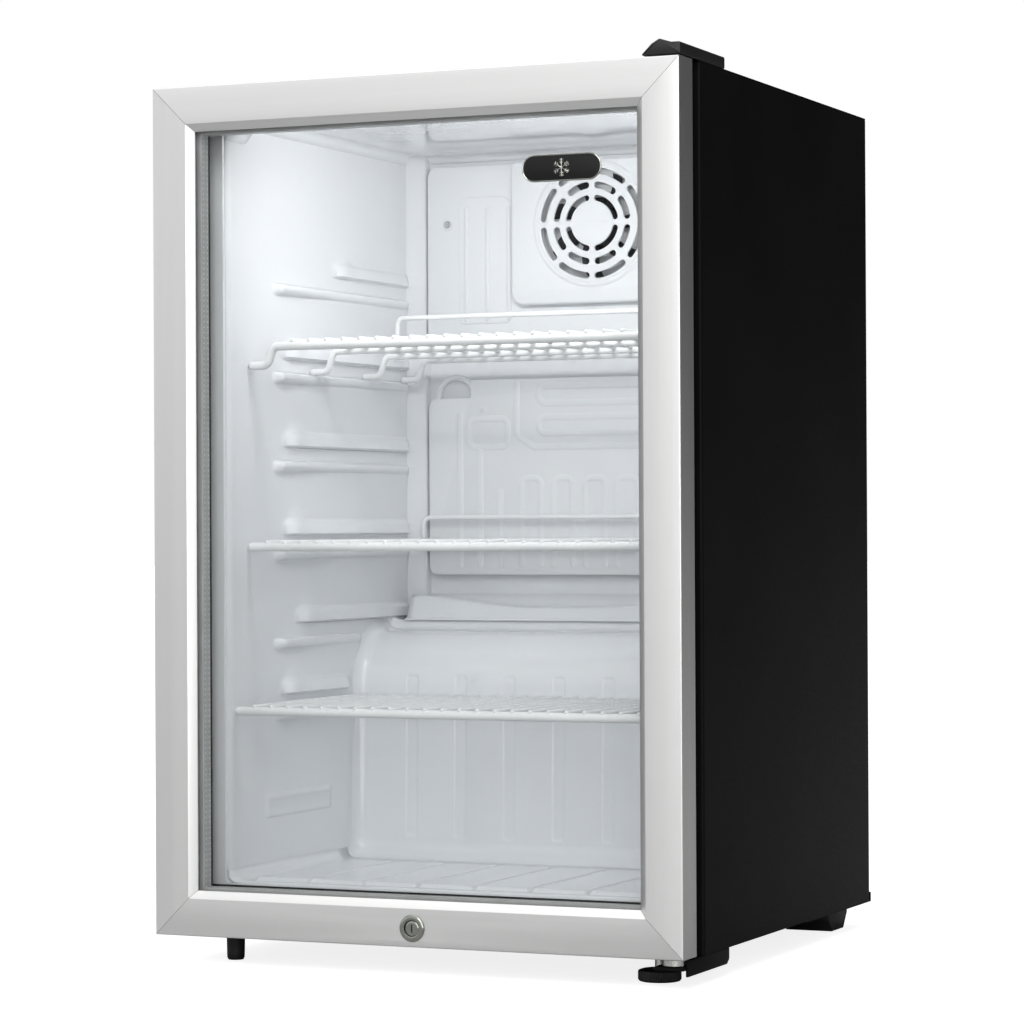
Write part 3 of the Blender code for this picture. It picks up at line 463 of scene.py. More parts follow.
def rounded_box(low, high, radius, axis="Y", edge=0.0008, steps=4):
    """A box whose outline across an axis has rounded corners, and whose two ends have soft edges."""
    across = {"X": (1, 2, 0), "Y": (0, 2, 1), "Z": (0, 1, 2)}[axis]
    outline = rounded(
        rectangle(low[across[0]], high[across[0]], low[across[1]], high[across[1]]), radius, steps,
    )
    return slab(outline, axis, low[across[2]], high[across[2]], edge)


def pierced(outlines, axis, low, high, edge=0.0):
    """A flat plate with holes, by a filled 2D curve. The first outline is the outside."""
    curve = bpy.data.curves.new("plate", "CURVE")
    curve.dimensions = "2D"
    curve.fill_mode = "BOTH"
    curve.extrude = (high - low) / 2 - edge
    curve.bevel_depth = edge
    curve.bevel_resolution = 2
    curve.offset = -edge
    for outline in outlines:
        spline = curve.splines.new("POLY")
        spline.points.add(len(outline) - 1)
        for point, place in zip(spline.points, outline):
            point.co = (place[0], place[1], 0, 1)
        spline.use_cyclic_u = True
    item = bpy.data.objects.new("plate", curve)
    bpy.context.scene.collection.objects.link(item)
    bpy.context.view_layer.update()
    mesh = bpy.data.meshes.new_from_object(item.evaluated_get(bpy.context.evaluated_depsgraph_get()))
    bpy.data.objects.remove(item, do_unlink=True)
    middle = (low + high) / 2
    for vertex in mesh.vertices:
        vertex.co = PLANES[axis](vertex.co.x, vertex.co.y, vertex.co.z + middle)
    shape = bmesh.new()
    shape.from_mesh(mesh)
    bmesh.ops.remove_doubles(shape, verts=shape.verts, dist=0.000001)
    bmesh.ops.recalc_face_normals(shape, faces=shape.faces)
    shape.to_mesh(mesh)
    shape.free()
    return mesh


def tube(points, radius, sides=12, bend=0.0, flat=1.0, up=Vector((0, 1, 0)), closed=False):
    """A round wire through the points with rounded ends. flat squeezes it along up."""
    path = [Vector(p) for p in (rounded(points, bend, 5, closed) if bend else points)]
    rings = []
    count = len(path)
    for i in range(count):
        before = path[i - 1] if i or closed else path[i]
        after = path[(i + 1) % count] if i < count - 1 or closed else path[i]
        tangent = (after - before).normalized()
        side = tangent.cross(up)
        if side.length < 0.1:
            side = tangent.cross(Vector((1, 0, 0)))
        side.normalize()
        over = side.cross(tangent) * flat
        ends = [(1.0, 0.0)]
        if not closed and i == 0:
            ends = [(0.45, -0.9), (0.85, -0.5), (1.0, 0.0)]
        elif not closed and i == count - 1:
            ends = [(1.0, 0.0), (0.85, 0.5), (0.45, 0.9)]
        for size, along in ends:
            centre = path[i] + tangent * radius * along
            rings.append([
                centre
                + (side * math.cos(math.tau * k / sides) + over * math.sin(math.tau * k / sides)) * radius * size
                for k in range(sides)
            ])
    return skin(rings, closed=closed)


def lathe(profile, centre, towards="Z", steps=40, ripple=None):
    """A turned shape. profile runs down its outer side as (radius, height) pairs."""
    turn = {
        "Z": Matrix.Identity(4),
        "front": Matrix.Rotation(math.pi / 2, 4, "X"),
        "back": Matrix.Rotation(-math.pi / 2, 4, "X"),
        "left": Matrix.Rotation(-math.pi / 2, 4, "Y"),
    }[towards]
    rings = []
    for radius, height in profile:
        ring = []
        for k in range(steps):
            reach = radius - (ripple(k, height) if ripple and radius > 0 else 0)
            angle = math.tau * k / steps
            ring.append((reach * math.cos(angle), reach * math.sin(angle), height))
        rings.append(ring)
    bored = profile[0][0] > 0 and profile[-1][0] > 0
    return moved(skin(rings, closed=bored), Matrix.Translation(centre) @ turn)


def framed(profile, left, right, bottom, top):
    """A mitred ring. profile is (inwards, back) round its section."""
    rings = []
    for x, z, side, up in ((left, bottom, 1, 1), (right, bottom, -1, 1), (right, top, -1, -1),
                           (left, top, 1, -1)):
        rings.append([(x + side * u, v, z + up * u) for u, v in profile])
    return skin(rings, closed=True)


def near_lines(low, high, step, edges, spread):
    """Grid lines from low to high: evenly spaced, and close together round each edge."""
    count = max(int((high - low) / step), 1)
    values = [low + (high - low) * i / count for i in range(count + 1)]
    for edge in edges:
        values += [edge + spread * k / 3 for k in range(-3, 4)]
    kept = []
    for value in sorted(v for v in values if low <= v <= high):
        if not kept or value - kept[-1] > 0.0004:
            kept.append(value)
    kept[-1] = high
    return kept


def add(name, mesh, material, body="cabinet", replaces=(), crease=35, shell=0.0, soften=0.0):
    """Puts a piece in the scene, on its body, in place of any CAD nodes that it stands for."""
    mesh.transform(Matrix.Translation(ORIGIN))
    mesh.shade_smooth()
    mesh.set_sharp_from_angle(angle=math.radians(crease))
    mesh.materials.clear()
    mesh.materials.append(material)
    item = bpy.data.objects.new(name, mesh)
    bpy.context.scene.collection.objects.link(item)
    if shell:
        wall = item.modifiers.new("wall", "SOLIDIFY")
        wall.thickness = abs(shell)
        wall.offset = -1 if shell > 0 else 1
    if soften:
        edges = item.modifiers.new("soften", "BEVEL")
        edges.width = soften
        edges.segments = 2
        edges.limit_method = "ANGLE"
        edges.harden_normals = True
    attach(item, body)
    if replaces:
        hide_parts(*replaces)
    return item


def keep(node_name, material, soften=0.0003):
    """Gives a CAD node that stays its finished material and slightly rounded edges."""
    item = NODES[node_name]
    item.data.materials.clear()
    item.data.materials.append(material)
    if soften:
        edges = item.modifiers.new("soften", "BEVEL")
        edges.width = soften
        edges.segments = 2
        edges.limit_method = "ANGLE"
        edges.angle_limit = math.radians(40)


# ------------------------------------------------------------ cabinet shell


def build_shell():
    for name, side in (("left", -1), ("right", 1)):
        outside = [
            (HALF - SIDE_FOLD, CABINET_FRONT), (HALF, CABINET_FRONT), (HALF, CABINET_BACK),
            (HALF - REAR_FOLD, CABINET_BACK),
        ]
        inside = [
            (HALF - REAR_FOLD, CABINET_BACK - SHEET), (HALF - SHEET, CABINET_BACK - SHEET),
            (HALF - SHEET, CABINET_FRONT + SHEET), (HALF - SIDE_FOLD, CABINET_FRONT + SHEET),
        ]
        bend = 0.0022
        outline = rounded(outside + inside, [0, bend, bend, 0, 0, bend - SHEET, bend - SHEET, 0], 6)
        outline = [(side * p[0], p[1]) for p in outline]
        add(
            f"{name}_side_skin", slab(outline, "Z", 0, CABINET_TOP - SHEET - 0.0003), black_paint,
            replaces=[f"{name}_side_panel"],
        )
    top_outline = rounded(rectangle(-HALF, HALF, CABINET_FRONT, CABINET_BACK), 0.002, 4)
    fold_half = HALF - SIDE_FOLD - 0.0003
    add(
        "top_skin",
        merged(
            slab(top_outline, "Z", CABINET_TOP - SHEET, CABINET_TOP, 0.0004),
            slab(
                rectangle(-fold_half, fold_half, CABINET_FRONT, CABINET_FRONT + SHEET),
                "Z", CABINET_TOP - 0.018, CABINET_TOP - SHEET * 0.7,
            ),
        ),
        black_paint, replaces=["top_panel"],
    )
    keep("bottom_panel", black_paint)
    keep("back_panel", galvanised)
    keep("compartment_panel", galvanised)
    keep("insulation_foam", foam_cream, 0)
    screws = []
    back = far("back_panel").y
    for x in (-0.195, 0.0, 0.195):
        for z in (0.222, 0.655):
            screws.append(screw_head(Vector((x, back, z)), "back"))
    for z in (0.36, 0.51):
        for x in (-0.195, 0.195):
            screws.append(screw_head(Vector((x, back, z)), "back"))
    add("back_panel_screws", merged(*screws), zinc)


def screw_head(place, towards, radius=0.0036, height=0.0018):
    """A pan head with a small round dimple in its top."""
    dome = [
        (0, height * 0.55), (radius * 0.16, height * 0.6), (radius * 0.22, height),
        (radius * 0.6, height * 0.92),
        (radius * 0.9, height * 0.6), (radius, height * 0.15), (radius, -0.0002), (0, -0.0002),
    ]
    return lathe(dome, place, towards, 20)


# -------------------------------------------------------------------- liner


def guide_height(y, z):
    """How far the side wall stands in at (y, z), for the shelf guides."""
    height = 0.0
    for top, upper_front in zip(GUIDE_TOPS, GUIDE_FRONTS):
        if not top - 0.040 < z < top + 0.050:
            continue
        rear = 0.262 if top == GUIDE_TOPS[-1] else 0.382
        lower_rear = 0.285 if top < HUMP_TOP + 0.01 else 0.382
        back = ease(lower_rear + 0.003, lower_rear - 0.010, y)
        lip = ease(top + 0.0006, top - 0.0012, z) * ease(top - 0.0088, top - 0.0040, z)
        fade = 0.60 + 0.40 * ease(0.250, LOWER_RIB_FRONT + 0.004, y)
        skirt = (
            0.28 * ease(top + 0.0004, top - 0.002, z) * ease(top - 0.022, top - 0.006, z)
            * ease(0.130, 0.260, y)
        )
        lower = max(lip * fade, skirt) * ease(LOWER_RIB_FRONT - 0.006, LOWER_RIB_FRONT + 0.002, y) * back
        along = y - upper_front
        rise = 0.0145 + 0.005 * math.exp(-(((along - 0.020) / 0.014) ** 2))
        upper = ease(top + 0.0128, top + 0.0152, z) * ease(top + 0.0115 + rise, top + 0.0165, z)
        bulge = 0.86 + 0.20 * math.exp(-(((along - 0.012) / 0.010) ** 2))
        upper *= bulge * ease(-0.006, 0.009, along) * ease(rear + 0.003, rear - 0.010, y)
        height = max(height, lower, upper)
    return GUIDE_REACH * height


def back_corner(side):
    """A flat strip across the back corner, with a deep narrow groove between it and the panels."""
    corner = [
        (CAVITY_HALF, 0.3790), (0.1832, 0.3805), (0.1732, 0.3915), (0.1718, 0.3926),
        (0.1712, 0.3940), (0.1708, 0.3990), (0.1700, CAVITY_BACK),
    ]
    return [(side * x, y) for x, y in corner]


def wall_plan():
    """The side and back walls seen from above, from the left front round to the right front."""
    ends = sorted({front for front in GUIDE_FRONTS} | {LOWER_RIB_FRONT - 0.004})
    rears = (0.260, 0.283, 0.376)
    ys = near_lines(
        CABINET_FRONT + 0.003, 0.3785, 0.010,
        [e + 0.002 for e in ends] + [r for r in rears] + [0.112, 0.225], 0.008,
    )
    left = [(-CAVITY_HALF, y) for y in ys]
    right = [(CAVITY_HALF, y) for y in reversed(ys)]
    back = [(x, CAVITY_BACK) for x in (-0.13, -0.06, 0.0, 0.06, 0.13)]
    return left + back_corner(-1) + back + back_corner(1)[::-1] + right


def embossed_frame(y, z):
    """A faint pressed rectangle low on each side wall."""
    across = max(abs(y - 0.1685) - 0.0565, abs(z - 0.0945) - 0.0085)
    return 0.0013 * ease(0.0012, -0.0008, across) * ease(-0.0052, -0.0032, across)


def build_liner():
    edges = []
    for top in GUIDE_TOPS:
        edges += [top - 0.0004, top + 0.0116, top - 0.008, top + 0.024]
    heights = near_lines(CAVITY_FLOOR, CEILING, 0.012, edges + [0.086, 0.103], 0.003)

    def wall_point(place, z):
        x, y = place
        reach = 0.0
        if abs(x) > CAVITY_HALF - 0.0001:
            reach = guide_height(y, z) + embossed_frame(y, z)
        return (x - math.copysign(reach, x), y, z)

    walls = sheet(wall_plan(), heights, wall_point)
    ceiling = sheet(
        cross_lines(), ceiling_path(),
        lambda x, p: (x, p[0], p[1] - cove(x)),
    )
    floor = sheet(
        floor_lines(), near_lines(CABINET_FRONT + 0.003, HUMP_FRONT - HUMP_COVE, 0.02, [0.064, 0.222], 0.004),
        lambda x, y: (x, y, CAVITY_FLOOR + cove(x) + floor_pad(x, y)),
    )
    add(
        "liner_walls", walls, liner_white, replaces=["inner_liner"], crease=60,
        shell=0.0012,
    )
    add("liner_ceiling", ceiling, liner_gloss, crease=60, shell=0.0012)
    add("liner_floor", floor, liner_white, crease=60, shell=0.0012)
    add("compressor_hump", hump_sheet(), liner_gloss, crease=60, shell=0.0012)

    opening = rounded(rectangle(-CAVITY_HALF, CAVITY_HALF, CAVITY_FLOOR, OPENING_TOP), 0.005, 6)
    flange_half = HALF - SIDE_FOLD - 0.0003
    flange = pierced(
        [rectangle(-flange_half, flange_half, 0.0363, CABINET_TOP - 0.0183), opening],
        "Y", CABINET_FRONT, CABINET_FRONT + SHEET,
    )
    roll = [[(p[0], CABINET_FRONT + d, p[1]) for p in inset_outline(opening, i)] for i, d in
            ((-0.0030, 0.0), (-0.0009, 0.0009), (0.0, 0.0030), (0.0, 0.0120))]
    add("liner_flange", merged(flange, skin(roll, caps=False)), liner_white, crease=50)


def cross_lines():
    return near_lines(-CAVITY_HALF, CAVITY_HALF, 0.03, [-CAVITY_HALF + 0.005, CAVITY_HALF - 0.005], 0.005)


def cove(x, radius=WALL_COVE):
    """Height of the rounded corner where a sheet meets the side walls."""
    inward = abs(x) - (CAVITY_HALF - radius)
    if inward <= 0:
        return 0.0
    return radius - math.sqrt(max(radius ** 2 - min(inward, radius) ** 2, 0.0))


def ceiling_path():
    low_front = [(CABINET_FRONT + 0.003, OPENING_TOP), (0.080, OPENING_TOP), (0.095, CEILING)]
    rear = CAVITY_BACK - 0.008
    corner = arc(rear, CEILING - 0.008, 0.008, 90, 0, 5)
    return rounded([*low_front, (rear - 0.02, CEILING)], 0.008, 5, closed=False) + corner


FLOOR_PADS = 7
PAD_GROOVE = 0.0045


def pad_edges():
    inner = CAVITY_HALF - 0.016
    pitch = 2 * inner / FLOOR_PADS
    return [-inner + pitch * i for i in range(FLOOR_PADS + 1)]


def floor_lines():
    edges = pad_edges()
    near_edges = [e - PAD_GROOVE / 2 for e in edges] + [e + PAD_GROOVE / 2 for e in edges]
    return near_lines(-CAVITY_HALF, CAVITY_HALF, 0.02, near_edges + [-0.180, 0.180], 0.0024)


def floor_pad(x, y):
    """Raised pads on the liner's floor, parted by grooves that run front to back."""
    if abs(x) > CAVITY_HALF - 0.014:
        return 0.0
    groove = min(abs(x - e) for e in pad_edges())
    return (
        0.0028 * ease(PAD_GROOVE * 0.25, PAD_GROOVE * 0.75, groove)
        * ease(0.061, 0.066, y) * ease(0.226, 0.218, y)
    )


def hump_path():
    """The hump seen from the side, with its outward normals: cove, face, round top, ledge."""
    cove_arc = arc(HUMP_FRONT - HUMP_COVE, CAVITY_FLOOR + HUMP_COVE, HUMP_COVE, -90, 0, 8)
    shares = (0.005, 0.010, 0.015, 0.02, 0.025, 0.03, 0.04, 0.06, 0.1, 0.3, 0.5, 0.7, 0.9, 0.97)
    face = [(HUMP_FRONT + 0.0035 * s, CAVITY_FLOOR + HUMP_COVE + 0.131 * s) for s in shares]
    middle = (HUMP_FRONT + 0.0035 + HUMP_RADIUS, HUMP_TOP - HUMP_RADIUS)
    crown = arc(*middle, HUMP_RADIUS, 180, 160, 16) + arc(*middle, HUMP_RADIUS, 155, 90, 10)
    step = rounded(
        [(0.326, HUMP_TOP), (0.338, HUMP_TOP), (0.343, LEDGE - 0.001), (CAVITY_BACK, LEDGE)],
        [0, 0.003, 0.003, 0], 4, closed=False,
    )
    points = [Vector(p[:2]) for p in cove_arc + face + crown + step]
    path = []
    for i, here in enumerate(points):
        before = points[max(i - 1, 0)]
        after = points[min(i + 1, len(points) - 1)]
        along = (after - before).normalized()
        path.append((here, Vector((-along.y, along.x))))
    return path


HUMP_SLOTS = [0.0055 + 0.0452 * i for i in range(-3, 4)]
HUMP_SLOT_HALF = 0.0054


def hump_sheet():
    """The liner's step over the compressor, with upright pressed slots on its face."""
    end_round = 0.014
    edges = [x + side * HUMP_SLOT_HALF for x in HUMP_SLOTS for side in (-1, 1)]
    columns = near_lines(-CAVITY_HALF, CAVITY_HALF, 0.02, edges, 0.0018)
    columns = sorted(set(columns) | {side * (CAVITY_HALF - end_round + end_round * math.sin(math.radians(a)))
                                     for side in (-1, 1) for a in range(0, 91, 15)})
    path = hump_path()

    def point(x, place):
        here, normal = place
        lift = cove(x, end_round) * ease(0.36, 0.34, here.x) - slot_depth(x, here.y, here.x)
        spot = here + normal * lift
        return (x, spot.x, spot.y)

    return sheet(columns, path, point)


def slot_depth(x, z, y):
    if y > 0.30:
        return 0.0
    nearest = min(HUMP_SLOTS, key=lambda s: abs(x - s))
    top = 0.1965 - HUMP_SLOT_HALF
    bottom = 0.062
    beyond = max(z - top, 0.0) if z > top else max(bottom - z, 0.0)
    across = math.hypot(x - nearest, beyond) - HUMP_SLOT_HALF
    return 0.0006 * ease(0.0008, -0.0010, across)


# ------------------------------------------------------------------ cooling


def channel(points, bend=0.006):
    """A raised refrigerant channel on the evaporator plate, through (x, z) points."""
    face = near("evaporator_plate").y
    return tube([(x, face, z) for x, z in points], 0.0030, 10, bend, flat=0.2)


def build_evaporator():
    low = near("evaporator_plate")
    high = far("evaporator_plate")
    thickness = 0.0015
    notch_x = -0.127
    notch_z = high.z - 0.016
    outline = rounded(
        [(low.x, low.z), (high.x, low.z), (high.x, high.z), (notch_x, high.z), (notch_x, notch_z),
         (low.x, notch_z)],
        [0.008, 0.008, 0.008, 0.002, 0.002, 0.008], 5,
    )
    plate = slab(outline, "Y", low.y, low.y + thickness, 0.0005)
    rails = []
    foot = low.z + 0.009
    rails.append(channel([(-0.1285, 0.404), (-0.1285, 0.4165), (-0.0915, 0.4165), (-0.0915, 0.3915),
                          (-0.1285, 0.3915), (-0.1285, 0.404)]))
    for x, top in ((-0.1375, 0.420), (-0.1180, 0.388), (-0.0985, 0.352)):
        rails.append(channel([(x, foot), (x, top)]))
    rails.append(channel([(-0.083, high.z - 0.004), (-0.083, 0.402), (-0.0665, 0.391), (0.162, 0.391)]))
    for upper, lower in ((0.4440, 0.4290), (0.4170, 0.4030)):
        rails.append(channel([(0.160, upper), (-0.062, upper), (-0.062, lower), (0.160, lower)], 0.0074))
    for i in range(8):
        left = -0.0785 + 0.0302 * i
        rails.append(channel([(left, foot), (left, 0.3636), (left + 0.0185, 0.3636), (left + 0.0185, foot)]))
    studs = [
        lathe([(0, 0.0006), (0.0030, 0.0004), (0.0038, -0.0002), (0.0038, -0.0075), (0, -0.0075)],
              (x, low.y, z), "front", 16)
        for x in (-0.115, 0.150) for z in (0.300, 0.425)
    ]
    add(
        "evaporator_roll_bond", merged(plate, *rails, *studs), plate_white,
        replaces=["evaporator_plate"], crease=40,
    )
    pipe_y = (near("suction_line").y + far("suction_line").y) / 2
    radius = 0.0027
    reach = 0.0172
    bend = [(-0.1425 - reach, 0.412)] + arc(-0.1425, 0.4365, reach, 180, 10, 14) + [(-0.1230, 0.428)]
    add(
        "suction_pipe", tube([(x, pipe_y, z) for x, z in bend], radius, 14), plate_white,
        replaces=["suction_line"],
    )


def slot_outline(inner, outer, start, end):
    """One arc slot of the grille, with rounded ends, as (x, z)."""
    middle = (inner + outer) / 2
    half = (outer - inner) / 2
    trim = math.degrees((SLOT_BAR / 2 + half) / middle)
    start += trim
    end -= trim
    points = arc(FAN.x, FAN.z, outer, start, end, 8)
    tip = math.radians(end)
    points += arc(FAN.x + middle * math.cos(tip), FAN.z + middle * math.sin(tip), half, end, end + 180,
                  6)[1:-1]
    points += arc(FAN.x, FAN.z, inner, end, start, 8)
    tip = math.radians(start)
    points += arc(FAN.x + middle * math.cos(tip), FAN.z + middle * math.sin(tip), half, start + 180,
                  start + 360, 6)[1:-1]
    return points


def build_fan_cover():
    low = near("fan_cover")
    high = far("fan_cover")
    plate_front = 0.3925
    plate_back = plate_front + 0.0020
    box_front = low.y + 0.0015
    box_left = -0.083
    box_right = 0.157
    box_bottom = 0.515
    throat = 0.0505
    plate_outline = rounded(rectangle(low.x, high.x, low.z, high.z), 0.009, 6)
    throat_ring = arc(FAN.x, FAN.z, throat, 0, 354, 59)
    plate = pierced([plate_outline, throat_ring], "Y", plate_front, plate_back, 0.0006)
    box_outline = rounded(
        [(box_left, box_bottom), (box_right, box_bottom), (box_right, high.z), (box_left, high.z)],
        [0.012, 0.012, 0.004, 0.004], 8,
    )
    block = pierced([box_outline, throat_ring], "Y", box_front, plate_front + 0.0005, 0.0022)
    skirt = lathe(
        [(throat + 0.0001, 0.0002), (BOSS_RADIUS - 0.002, 0.0009), (BOSS_RADIUS, 0.0004),
         (BOSS_RADIUS + 0.0028, -0.0022), (BOSS_RADIUS + 0.0030, -0.0040), (throat + 0.0001, -0.0040)],
        (FAN.x, low.y + 0.0010, FAN.z), "front", 72,
    )
    slots = []
    for inner, outer, count in SLOT_RINGS:
        for i in range(count):
            slots.append(slot_outline(inner, outer, 360 / count * i, 360 / count * (i + 1)))
    grille = pierced([arc(FAN.x, FAN.z, throat + 0.0010, 0, 355, 71), *slots], "Y", low.y, low.y + 0.0028,
                     0.0005)

    arch = rounded([(-0.1375, 0.500), (-0.0865, 0.500), (-0.0865, 0.6125), (-0.1375, 0.6125)],
                   [0.006, 0.006, 0.011, 0.011], 6)
    pad = slab(arch, "Y", plate_front - 0.0007, plate_front + 0.0016, 0.0011, 6)
    ribs = [
        tube([(x, plate_front - 0.0006, 0.504), (x, plate_front - 0.0006, 0.6015)], 0.0019, 12, flat=0.7)
        for x in (-0.1300, -0.1095, -0.0890)
    ]
    studs = [
        lathe([(0.0045, 0), (0.0045, -0.0062), (0, -0.0062), (0, 0)], (x, plate_back - 0.0004, z), "front",
              16)
        for x in (-0.1485, 0.160) for z in (0.490, 0.589)
    ]
    add(
        "fan_cover_shell", merged(plate, block, skirt, grille, pad, *ribs, *studs), cover_white,
        replaces=["fan_cover"], crease=40,
    )
    screw_low = near("fan_cover_screw")
    screw_high = far("fan_cover_screw")
    place = ((screw_low.x + screw_high.x) / 2, screw_high.y, (screw_low.z + screw_high.z) / 2)
    recess = 0.0011
    cup = lathe(
        [(0.0, 0.0002), (0.0042, 0.0002), (0.0047, 0.0006), (0.0052, 0.0), (0.0, 0.0)], place, "front", 24,
    )
    head = lathe([(0, 0.0016), (0.0020, 0.0014), (0.0033, 0.0007), (0.0036, 0), (0, 0)], place, "front", 24)
    add("fan_cover_screw_cup", cup, cover_white)
    item = add("cross_head_screw", head, zinc, replaces=["fan_cover_screw"])
    for size in ((0.0022, 0.0005), (0.0005, 0.0022)):
        centre = Vector(place) + ORIGIN
        bar = slab(
            rectangle(centre.x - size[0], centre.x + size[0], centre.z - size[1], centre.z + size[1]),
            "Y", centre.y - 0.003, centre.y - recess,
        )
        cut(item, bar)


def cut(item, mesh):
    """Cuts a shape out of a piece and keeps the result."""
    other = bpy.data.objects.new("cutter", mesh)
    bpy.context.scene.collection.objects.link(other)
    change = item.modifiers.new("cut", "BOOLEAN")
    change.object = other
    change.operation = "DIFFERENCE"
    change.solver = "EXACT"
    bpy.context.view_layer.update()
    result = bpy.data.meshes.new_from_object(item.evaluated_get(bpy.context.evaluated_depsgraph_get()))
    item.modifiers.remove(change)
    item.data = result
    bpy.data.objects.remove(other, do_unlink=True)


def fan_blade(index, count):
    """One twisted blade, from the hub out, as a thin closed skin."""
    rings = []
    for k in range(9):
        share = k / 8
        radius = 0.0175 + (0.0463 - 0.0175) * share
        pitch = math.radians(42 - 16 * share)
        chord = 0.0068 + 0.0012 * math.sin(math.pi * share)
        sweep = math.tau * index / count + 0.22 * share * share
        ring = []
        for along, across in ((-1, 0), (-0.5, 0.0006), (0, 0.0009), (0.5, 0.0006), (1, 0), (0.5, -0.0006),
                              (0, -0.0009), (-0.5, -0.0006)):
            around = chord * along * math.cos(pitch) - across * math.sin(pitch)
            depth = chord * along * math.sin(pitch) + across * math.cos(pitch)
            angle = sweep + around / radius
            ring.append((FAN.x + radius * math.cos(angle), FAN.y + depth, FAN.z + radius * math.sin(angle)))
        rings.append(ring)
    return skin(rings)


def build_fan():
    back = far("fan_rotor").y
    depth = 0.0110
    cup = [
        (0, depth), (0.0160, depth), (0.0178, depth - 0.0006), (0.0185, depth - 0.0020), (0.0185, 0.0015),
        (0.0158, 0.0015), (0.0158, 0.0080), (0, 0.0080),
    ]
    hub = lathe(cup, (FAN.x, back + 0.0015, FAN.z), "front", 40)
    blades = [fan_blade(i, 7) for i in range(7)]
    add("fan_blades", merged(hub, *blades), fan_black, "fan", ["fan_rotor"], crease=40)
    wall = far("fan_motor").y
    housing = [
        (0, 0.0108), (0.0135, 0.0108), (0.0150, 0.0100), (0.0150, 0.0022), (0.0160, 0.0014), (0.0232, 0.0014),
        (0.0240, 0.0008), (0.0240, 0), (0, 0),
    ]
    add(
        "fan_motor_housing", lathe(housing, (FAN.x, wall, FAN.z), "front", 48), textured_black,
        replaces=["fan_motor"],
    )


def trough_lip(x):
    """Height of the drip trough's lip, which dips near the middle."""
    left = 0.0099 * ease(-0.055, -0.168, x)
    right = 0.0075 * ease(-0.030, 0.168, x)
    return 0.2515 + left + right


def build_drip_trough():
    low = near("drip_trough")
    high = far("drip_trough")
    floor = low.z + 0.0015

    def section(x):
        lip = trough_lip(x)
        return rounded(
            [(0.3400, LEDGE - 0.0010), (0.3470, LEDGE + 0.0010), (0.3560, lip - 0.0014),
             (low.y + 0.0010, lip),
             (low.y + 0.0040, lip - 0.0024), (low.y + 0.0075, floor), (high.y - 0.0015, floor),
             (high.y - 0.0010, high.z)],
            [0, 0.003, 0.006, 0.001, 0.002, 0.003, 0.002, 0], 4, closed=False,
        )

    columns = [low.x + (high.x - low.x) * i / 48 for i in range(49)]
    rings = [[(x, p[0], p[1]) for p in section(x)] for x in columns]
    add(
        "drip_trough_tray", skin(rings, wrap=False), liner_white, replaces=["drip_trough"],
        crease=50, shell=0.0006,
    )
    keep("drain_tube", liner_white, 0)


# ----------------------------------------------------------------- controls


def build_controls():
    low = near("control_housing")
    high = far("control_housing")
    body = rounded_box(low, (high.x, high.y, high.z), 0.009, "X", 0.0025, 8)
    item = add(
        "control_housing_shell", body, cover_white, replaces=["control_housing"],
        crease=40,
    )
    lens_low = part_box("lamp_lens")[0]
    lens_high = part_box("lamp_lens")[1]
    rocker_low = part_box("light_switch")[0]
    rocker_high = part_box("light_switch")[1]
    depth = 0.006
    for first, second in ((lens_low, lens_high), (rocker_low, rocker_high)):
        gap = 0.0004
        cut(item, slab(
            rectangle(first.y - gap, second.y + gap, first.z - gap, second.z + gap),
            "X", first.x - 0.003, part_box("control_housing")[0].x + depth,
        ))
    ticks = []
    dial_ring = 0.0195
    for i in range(8):
        angle = math.radians(-45 + 270 * i / 7 + 90)
        inner = dial_ring - 0.0010
        outer = dial_ring + 0.0008 + 0.0002 * i
        start = (low.x, KNOB.y + inner * math.cos(angle), KNOB.z + inner * math.sin(angle))
        end = (low.x, KNOB.y + outer * math.cos(angle), KNOB.z + outer * math.sin(angle))
        ticks.append(tube([start, end], 0.00035, 8))
    add("dial_marks", merged(*ticks), gloss_black)

    profile = [(0, 0.0108)] + arc(0.0125, 0.0088, 0.0020, 90, 20, 4)
    profile += [(0.0157, 0.0060), (0.0165, 0.0012), (0.0163, 0.0), (0.0030, 0.0), (0.0030, -0.0100),
                (0, -0.0100)]
    knob = lathe(
        profile, KNOB, "left", 72,
        ripple=lambda k, height: 0.0005 * (k % 4 < 2) if 0.001 < height < 0.008 else 0,
    )
    pointer = rounded_box(
        (KNOB.x - 0.0131, KNOB.y - 0.0014, KNOB.z + 0.0010),
        (KNOB.x - 0.0100, KNOB.y + 0.0014, KNOB.z + 0.0125),
        0.0013, "X", 0.0006,
    )
    add(
        "thermostat_dial", merged(knob, pointer), cover_white, "knob", ["thermostat_knob"],
    )
    lens = rounded_box(near("lamp_lens"), far("lamp_lens"), 0.003, "X", 0.0008)
    ribs = [
        tube([(near("lamp_lens").x + 0.0002, y, near("lamp_lens").z + 0.003),
              (near("lamp_lens").x + 0.0002, y, far("lamp_lens").z - 0.003)], 0.0008, 8)
        for y in [near("lamp_lens").y + 0.005 + 0.005 * i for i in range(9)]
    ]
    add("lamp_lens_ribbed", merged(lens, *ribs), milky, replaces=["lamp_lens"])
    keep("light_switch", textured_black, 0.0006)


# ----------------------------------------------------------- compressor bay


